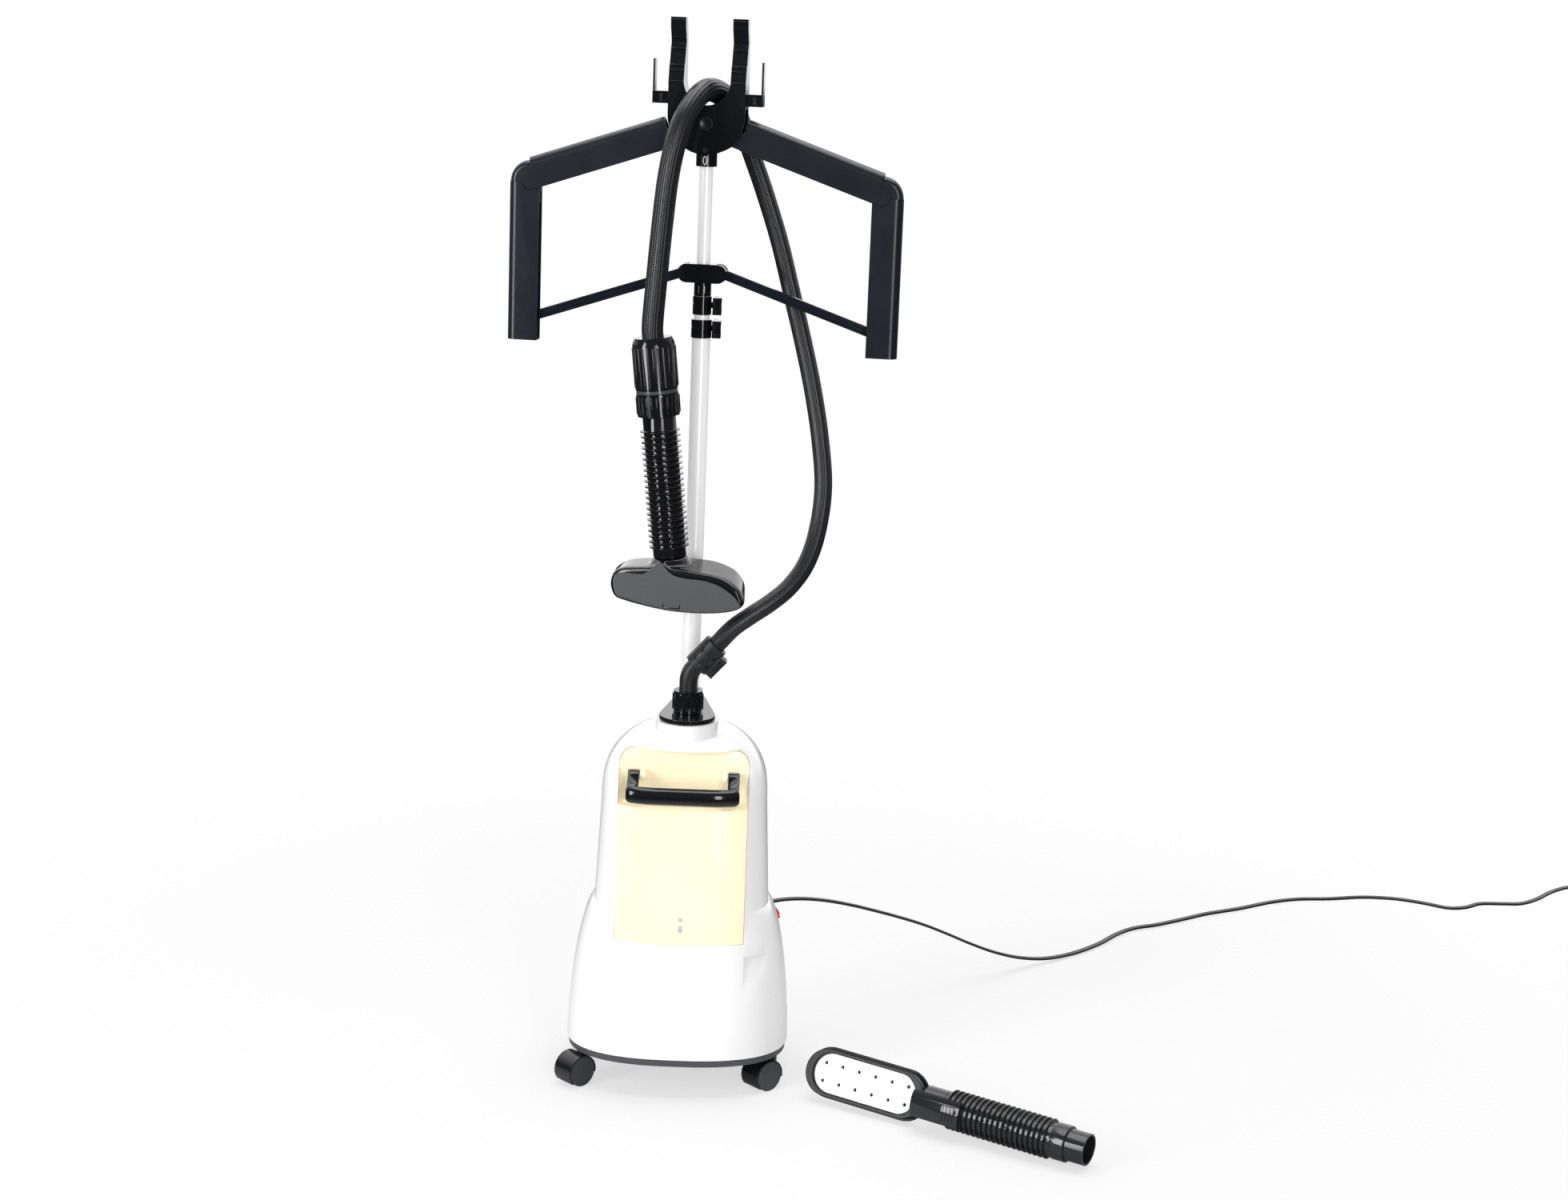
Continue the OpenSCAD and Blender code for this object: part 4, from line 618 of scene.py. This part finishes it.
# CAD nodes as finished mouldings: a merged copy with its edges broken
nodeFinish = {  # node: finish, edge radius in mm
    "base_pan": ("panGrey", 0.8), "pan_screws": ("pinSteel", 0.2), "housing": ("shellWhite", 0.8),
    "rocker_bezel": ("switchRed", 0.4), "rocker": ("switchRed", 0.4), "cord_gland": ("blackMatte", 0.4),
    "boiler": ("castAlloy", 1.0), "steam_riser": ("brassPlain", 0.4), "valve_seat": ("innerWhite", 0.5),
    "water_inlet": ("innerWhite", 0.3), "thermostat": ("brassPlain", 0.3),
    "terminal_block": ("innerWhite", 0.5), "neck_flange": ("blackGloss", 0.8),
    "outlet_nut": ("blackGloss", 0.5), "hose_elbow": ("blackMatte", 0.5),
    "hose_coupling": ("blackMatte", 0.8),
    "water_tank": ("tankYellow", 1.2), "tank_valve": ("innerWhite", 0.4), "tank_handle": ("blackGloss", 1.0),
    "caster_fl": ("blackGloss", 0.6), "caster_fr": ("blackGloss", 0.6),
    "caster_rl": ("blackGloss", 0.6), "caster_rr": ("blackGloss", 0.6),
    "wheels_fl": ("wheelGrey", 0.8), "wheels_fr": ("wheelGrey", 0.8),
    "wheels_rl": ("wheelGrey", 0.8), "wheels_rr": ("wheelGrey", 0.8),
    "lower_tube": ("poleSilver", 0.2), "middle_tube": ("poleSilver", 0.2), "upper_tube": ("poleSilver", 0.2),
    "lower_clamp": ("blackGloss", 0.7), "upper_clamp": ("blackGloss", 0.7),
    "lower_lever": ("blackGloss", 0.8), "upper_lever": ("blackGloss", 0.8),
    "hanger_yoke": ("blackGloss", 1.0), "hanger_pins": ("pinSteel", 0.2), "press_button": ("blackSatin", 0.5),
    "side_hooks": ("blackGloss", 0.6), "strut_collar": ("blackGloss", 1.0),
    "right_arm": ("blackSatin", 0.5), "left_arm": ("blackSatin", 0.5),
    "right_panel": ("blackSatin", 0.5), "left_panel": ("blackSatin", 0.5),
    "right_strut": ("strutBlack", 0.3), "left_strut": ("strutBlack", 0.3),
    "wand_grip": ("blackGloss", 0.3), "handle_nut": ("blackGloss", 0.3), "cuff_ring": ("ringGrey", 0.5),
    "hose_cuff": ("blackGloss", 0.3), "steam_head": ("blackGloss", 1.0),
    "press_head": ("rimBlack", 0.8), "press_plate": ("plateWhite", 0.4), "press_neck": ("wandBlackPaintedSheen", 1.0),
    "press_grip": ("wandBlackPaintedSheen", 0.3), "plug": ("cordBlack", 0.8),
}


def turnBy(degrees, axis):
    return Matrix.Rotation(math.radians(degrees), 4, axis)


places = {  # own frames of the parts that stand turned
    "hanger": Matrix.Translation((0, 0.058, 0)) @ turnBy(-7, "Z"),
    "head": Matrix.Translation((-0.0276, 0.004, 0.649)) @ turnBy(-18, "Z"),
    "press": (
        Matrix.Translation((0.2346, -0.1296, 0.0339))
        @ turnBy(-30.8, "Z") @ turnBy(1.8, "Y") @ turnBy(70, "X")
    ),
    "world": Matrix.Identity(4),
}
barSet = {"deep": 8.0, "ends": 9.0, "endsFrom": 0.45, "crown": 4.0, "fade": 0.75}
relaxSet = {
    "steam_head": {"voxel": 1.3, "factor": 0.5, "passes": 50, "grid": "head", "levels": 1},
    "tank_handle": {"voxel": 0.8, "factor": 0.5, "passes": 22, "grid": "world", "bar": barSet},
}


def shapeBar(copy, settings):
    low, high = copy.bound_box[0], copy.bound_box[6]
    wide, deep = high[0] - low[0], high[1] - low[1]
    bar = [v.co.z for v in copy.data.vertices if v.co.y - low[1] < settings["deep"] * mm]
    barMiddle, barHalf = (max(bar) + min(bar)) / 2, (max(bar) - min(bar)) / 2
    for vertex in copy.data.vertices:  # the bar's front is crowned and its ends run back into the arms
        across = abs((vertex.co.x - low[0]) / wide * 2 - 1)
        share = max(0, 1 - (vertex.co.y - low[1]) / deep / settings["fade"])
        rise = min(1, abs(vertex.co.z - barMiddle) / barHalf)
        ends = settings["ends"] * max(0, (across - settings["endsFrom"]) / (1 - settings["endsFrom"])) ** 2
        vertex.co.y += (ends + settings["crown"] * rise * rise * share) * mm * share


def relaxNode(copy, settings):
    grid = places[settings["grid"]]
    copy.data.transform(grid.inverted())  # the even quads run along the piece's own sides
    remesh = copy.modifiers.new("even", "REMESH")  # even quads, so the lofted sides shade cleanly
    remesh.mode = "VOXEL"
    remesh.voxel_size = settings["voxel"] * mm
    bpy.ops.object.modifier_apply(modifier="even")
    relax = copy.modifiers.new("relax", "SMOOTH")
    relax.factor = settings["factor"]
    relax.iterations = settings["passes"]
    bpy.ops.object.modifier_apply(modifier="relax")
    if "bar" in settings:
        shapeBar(copy, settings["bar"])
    if "levels" in settings:
        finer = copy.modifiers.new("finer", "SUBSURF")
        finer.levels = finer.render_levels = settings["levels"]
        bpy.ops.object.modifier_apply(modifier="finer")
    copy.data.transform(grid)
    bpy.ops.object.shade_smooth()


shoulderSet = {  # heights and half widths of the housing's shoulder, in mm
    "foot": 356.0, "roof": 437.0, "roofHalf": 38.0, "columnHalf": 101.0, "neckHalf": 44.0,
    "bay": {"half": 79.0, "bend": 404.0, "corner": 20.0, "rim": 1.5, "clear": 1.15},
    "levels": [0, 0.3, 0.52, 0.68, 0.8, 0.89, 0.95, 0.99],
    "cuts": [0.1, 0.2, 0.36, 0.44, 0.6, 0.74, 0.85, 0.92],
    "plain": (2.4, 0.55), "fuller": (2.8, 0.51),
}


def shoulderHalf(share, powers, settings):
    narrow, wide = settings["roofHalf"], settings["columnHalf"]
    return narrow + (wide - narrow) * max(0, 1 - share ** powers[0]) ** powers[1]


def heldHalf(height, settings):  # the bay's rim and the neck stay as in the solid
    bay = settings["bay"]
    climb = max(0, height - bay["bend"])
    if climb > bay["corner"] * bay["clear"]:
        return settings["neckHalf"]
    return bay["half"] - bay["corner"] + math.sqrt(max(0, bay["corner"] ** 2 - climb ** 2)) + bay["rim"]


def roundShoulder(copy, settings):
    foot, rise = settings["foot"], settings["roof"] - settings["foot"]
    for cut in settings["cuts"]:
        bpy.ops.mesh.select_all(action="SELECT")
        bpy.ops.mesh.bisect(plane_co=(0, 0, (foot + rise * cut) * mm), plane_no=(0, 0, 1))
    bpy.ops.object.mode_set(mode="OBJECT")
    levels = settings["levels"]
    for vertex in copy.data.vertices:  # the flat steps between the solid's levels become one fuller curve
        share = (vertex.co.z / mm - foot) / rise
        if 0 < share < levels[-1] and abs(vertex.co.x) / mm > heldHalf(vertex.co.z / mm, settings):
            k = max(i for i, level in enumerate(levels) if level <= share)
            low, high = [shoulderHalf(level, settings["plain"], settings) for level in levels[k:k + 2]]
            stepped = low + (high - low) * (share - levels[k]) / (levels[k + 1] - levels[k])
            vertex.co.x *= shoulderHalf(share, settings["fuller"], settings) / stepped
    bpy.ops.object.mode_set(mode="EDIT")
    bpy.ops.mesh.select_all(action="SELECT")


nodeEdgeSet = {"merge": 0.002, "flat": 0.5, "segments": 3, "sharp": 34}  # mm and degrees


def finishNode(node, finish, edge, settings):
    copy = nodes[node].copy()
    copy.data = nodes[node].data.copy()
    bpy.context.collection.objects.link(copy)
    copy.name = "part_" + node
    copy.parent = None
    copy.matrix_world = Matrix.Identity(4)
    takeUp(copy)
    bpy.ops.object.mode_set(mode="EDIT")
    bpy.ops.mesh.select_all(action="SELECT")
    bpy.ops.mesh.remove_doubles(threshold=settings["merge"] * mm)
    if node == "housing":
        roundShoulder(copy, shoulderSet)
    if node not in relaxSet:
        bpy.ops.mesh.dissolve_limited(angle_limit=math.radians(settings["flat"]))
    bpy.ops.object.mode_set(mode="OBJECT")
    if node in relaxSet:
        relaxNode(copy, relaxSet[node])
    else:
        bpy.ops.object.shade_smooth_by_angle(angle=smoothAngle)
        breakEdges(copy, edge, settings["segments"], settings["sharp"])
    copy.data.materials.clear()
    copy.data.materials.append(finishes[finish])
    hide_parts(node)
    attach(copy, bodyOfNode[node])
    return copy


parts = {}
for nodeName, (finishName, edge) in nodeFinish.items():
    parts[nodeName] = finishNode(nodeName, finishName, edge, nodeEdgeSet)
print("mouldings finished:", len(parts))

# small fittings over the mouldings, each modelled flat at the middle and then carried to its place
placeOfNode = {
    "hanger_yoke": "hanger", "steam_head": "head", "head_plate": "head", "press_head": "press",
    "water_tank": "world",
}
facing = {"front": turnBy(90, "X"), "up": Matrix.Identity(4)}


def settle(piece, name, finish, carrier, spot, way="front"):
    takeUp(piece)
    middle = Matrix.Translation([v * mm for v in spot])
    piece.matrix_world = places[placeOfNode[carrier]] @ middle @ facing[way]
    bpy.ops.object.transform_apply(location=True, rotation=True, scale=True)
    bpy.ops.object.shade_smooth_by_angle(angle=smoothAngle)
    piece.name = name
    piece.data.name = name
    piece.data.materials.clear()
    piece.data.materials.append(finishes[finish])
    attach(piece, bodyOfNode[carrier])


def pickFaces(piece, test):
    bpy.ops.object.mode_set(mode="EDIT")
    bpy.ops.mesh.select_mode(type="FACE")
    bpy.ops.mesh.select_all(action="DESELECT")
    bpy.ops.object.mode_set(mode="OBJECT")
    for face in piece.data.polygons:
        face.select = test(face)
    bpy.ops.object.mode_set(mode="EDIT")


def makeScrew(settings):
    deselectAll()
    radius, tall = settings["wide"] / 2, settings["tall"]
    bpy.ops.mesh.primitive_cylinder_add(vertices=32, radius=radius * mm, depth=tall * mm)
    screw = bpy.context.object
    pickFaces(screw, lambda face: face.normal.z > 0.9)
    bpy.ops.mesh.inset(thickness=(radius - settings["socket"]) * mm)
    sunk = -tall * settings["sunk"] * mm
    bpy.ops.mesh.extrude_region_move(TRANSFORM_OT_translate={"value": (0, 0, sunk)})
    bpy.ops.object.mode_set(mode="OBJECT")
    breakEdges(screw, settings["edge"])
    return screw


def makeInlay(wide, high, thick, corner):
    deselectAll()
    bpy.ops.mesh.primitive_cube_add(size=1)
    inlay = bpy.context.object
    inlay.scale = (wide * mm, high * mm, thick * mm)
    bpy.ops.object.transform_apply(scale=True)
    bevel = inlay.modifiers.new("corners", "BEVEL")
    bevel.limit_method = "NONE"
    bevel.width = corner * mm
    bevel.segments = 3
    bpy.ops.object.modifier_apply(modifier="corners")
    return inlay


def makeOval(wide, high, thick, edge):
    deselectAll()
    bpy.ops.mesh.primitive_cylinder_add(vertices=40, radius=0.5, depth=1)
    oval = bpy.context.object
    oval.scale = (wide * mm, high * mm, thick * mm)
    bpy.ops.object.transform_apply(scale=True)
    breakEdges(oval, edge)
    return oval


def surfaceY(node, x, z):  # the front of a moulding, in its own frame and in mm
    bpy.context.view_layer.update()
    place = places[placeOfNode[node]]
    start = place @ Vector((x * mm, -0.4, z * mm))  # well in front
    spot = parts[node].ray_cast(start, place.to_3x3() @ Vector((0, 1, 0)))[1]
    return (place.inverted() @ spot).y / mm


plateScrewSet = {
    "wide": 3.9, "tall": 1.2, "socket": 1.0, "sunk": 0.55, "edge": 0.18, "z": 3.75,
    "spots": [(x, side * 19.2) for x in (-46, 0, 46) for side in (-1, 1)],
}
for k, (x, y) in enumerate(plateScrewSet["spots"]):
    spot = (x, y, plateScrewSet["z"])
    settle(makeScrew(plateScrewSet), f"plateScrew{k}", "pinSteel", "press_head", spot, "up")

hubScrewSet = {"wide": 6.0, "tall": 1.6, "socket": 1.6, "sunk": 0.55, "edge": 0.18, "spot": (0, -15.2, 1133)}
settle(makeScrew(hubScrewSet), "hubScrew", "blackMatte", "hanger_yoke", hubScrewSet["spot"])

markSet = {
    "x": 1.7, "thick": 1.0, "corner": 0.45, "sunk": 0.35,
    "marks": [("valveDot", 5.2, 4.8, 220.6), ("valvePeg", 5.4, 8.8, 208.4)],  # name, width, height, z
}
for name, wide, high, z in markSet["marks"]:
    mark = makeInlay(wide, high, markSet["thick"], markSet["corner"])
    spot = (markSet["x"], surfaceY("water_tank", markSet["x"], z) + markSet["sunk"], z)
    settle(mark, name, "markGrey", "water_tank", spot)

clipSet = {
    "wide": 21.0, "high": 5.4, "line": 1.5, "thick": 1.0, "corner": 0.4, "x": 14.3, "y": -29.9, "z": -57.4,
}
clipBars = [
    ("clipFoot", clipSet["wide"], clipSet["line"], 0, 0),
    ("clipLeft", clipSet["line"], clipSet["high"], -clipSet["wide"] / 2, clipSet["high"] / 2),
    ("clipRight", clipSet["line"], clipSet["high"], clipSet["wide"] / 2, clipSet["high"] / 2),
]
for name, wide, high, x, z in clipBars:
    bar = makeInlay(wide, high, clipSet["thick"], clipSet["corner"])
    settle(bar, name, "blackGloss", "steam_head", (clipSet["x"] + x, clipSet["y"], clipSet["z"] + z))

ledgeSet = {
    "x": 37.15, "wide": 18.3, "thick": 2.4, "corner": 0.5, "proud": 1.3,
    # how far below the prong's top, and how high
    "drops": [(3.4, 2.0), (23.7, 2.6), (37.0, 2.6), (55.8, 1.8), (61.6, 1.8), (74.8, 2.4)],
}
prongTop = max(corner[2] for corner in parts["hanger_yoke"].bound_box) / mm
for side, sideName in ((-1, "L"), (1, "R")):
    for k, (drop, high) in enumerate(ledgeSet["drops"]):  # moulded steps up the front of each prong
        ledge = makeInlay(ledgeSet["wide"], high, ledgeSet["thick"], ledgeSet["corner"])
        x, z = side * ledgeSet["x"], prongTop - drop
        y = surfaceY("hanger_yoke", x, z) + ledgeSet["thick"] / 2 - ledgeSet["proud"]
        settle(ledge, f"prongLedge{k}{sideName}", "blackGloss", "hanger_yoke", (x, y, z))

capSet = {
    "wide": 5.4, "high": 11.0, "thick": 0.8, "edge": 0.24, "z": 1121,
    # name, inset, finish, lift
    "rings": [("capSlotRim", 0, "innerWhite", 0.3), ("capSlot", 2.4, "blackMatte", 0.6)],
}
# the slot is drawn as flat ovals laid on the sleeve: a black matte oval of painted shade for its hollow,
# inside a pale ring of painted highlight for its lit edge
for name, inset, finish, lift in capSet["rings"]:
    oval = makeOval(capSet["wide"] - inset, capSet["high"] - inset, capSet["thick"], capSet["edge"])
    y = surfaceY("hanger_yoke", 0, capSet["z"]) - lift + capSet["thick"] / 2
    settle(oval, name, finish, "hanger_yoke", (0, y, capSet["z"]))

facePlateSet = {
    "top": [
        (-63, -33), (-61.5, -25.5), (-56, -21), (-47, -20), (-25, -19.4), (-17, -15), (-10, -8), (-4.4, -2.6),
        (-2.4, -1.8), (-0.4, -2.8), (4, -7.5), (9.5, -13), (18, -17.6), (33, -19.4), (53, -19.6), (65, -21.3),
        (75, -24.2), (84, -28.5), (94, -35), (101.5, -43), (102.7, -45.5),
    ],
    "low": [
        (101, -49.6), (87, -54.3), (71, -57.2), (54, -59), (38, -60.1), (22, -60.3), (5, -59.7),
        (-15.6, -57.5), (-36, -54), (-56, -50), (-61, -43.5), (-63, -33),
    ],
    "step": 2.0, "middle": (19.85, -34.0), "share": 0.985, "thick": 1.6, "y": -28.2,
    "edge": 0.45, "ring": 0.9,  # the ring keeps the broken edge's shading off the face
}


def makeFacePlate(settings):
    outline = smoothRoute([(x, z, 0) for x, z in settings["top"] + settings["low"]], settings["step"])[:-1]
    middle = Vector((*settings["middle"], 0))
    outline = [(middle + (p - middle) * settings["share"]) * mm for p in outline]
    plate = meshPiece("facePlate", outline, [tuple(range(len(outline) - 1, -1, -1))])
    bpy.ops.object.mode_set(mode="EDIT")
    bpy.ops.mesh.select_all(action="SELECT")
    bpy.ops.mesh.normals_make_consistent(inside=False)
    bpy.ops.mesh.inset(thickness=settings["ring"] * mm, depth=0)
    bpy.ops.mesh.select_all(action="SELECT")
    bpy.ops.mesh.extrude_region_move(TRANSFORM_OT_translate={"value": (0, 0, settings["thick"] * mm)})
    bpy.ops.mesh.select_all(action="SELECT")
    bpy.ops.mesh.normals_make_consistent(inside=False)
    bpy.ops.object.mode_set(mode="OBJECT")
    breakEdges(plate, settings["edge"], 3)
    return plate


facePlate = makeFacePlate(facePlateSet)
settle(facePlate, "facePlate", "plateGrey", "head_plate", (0, facePlateSet["y"], 0))
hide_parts("head_plate")
print("fittings set")
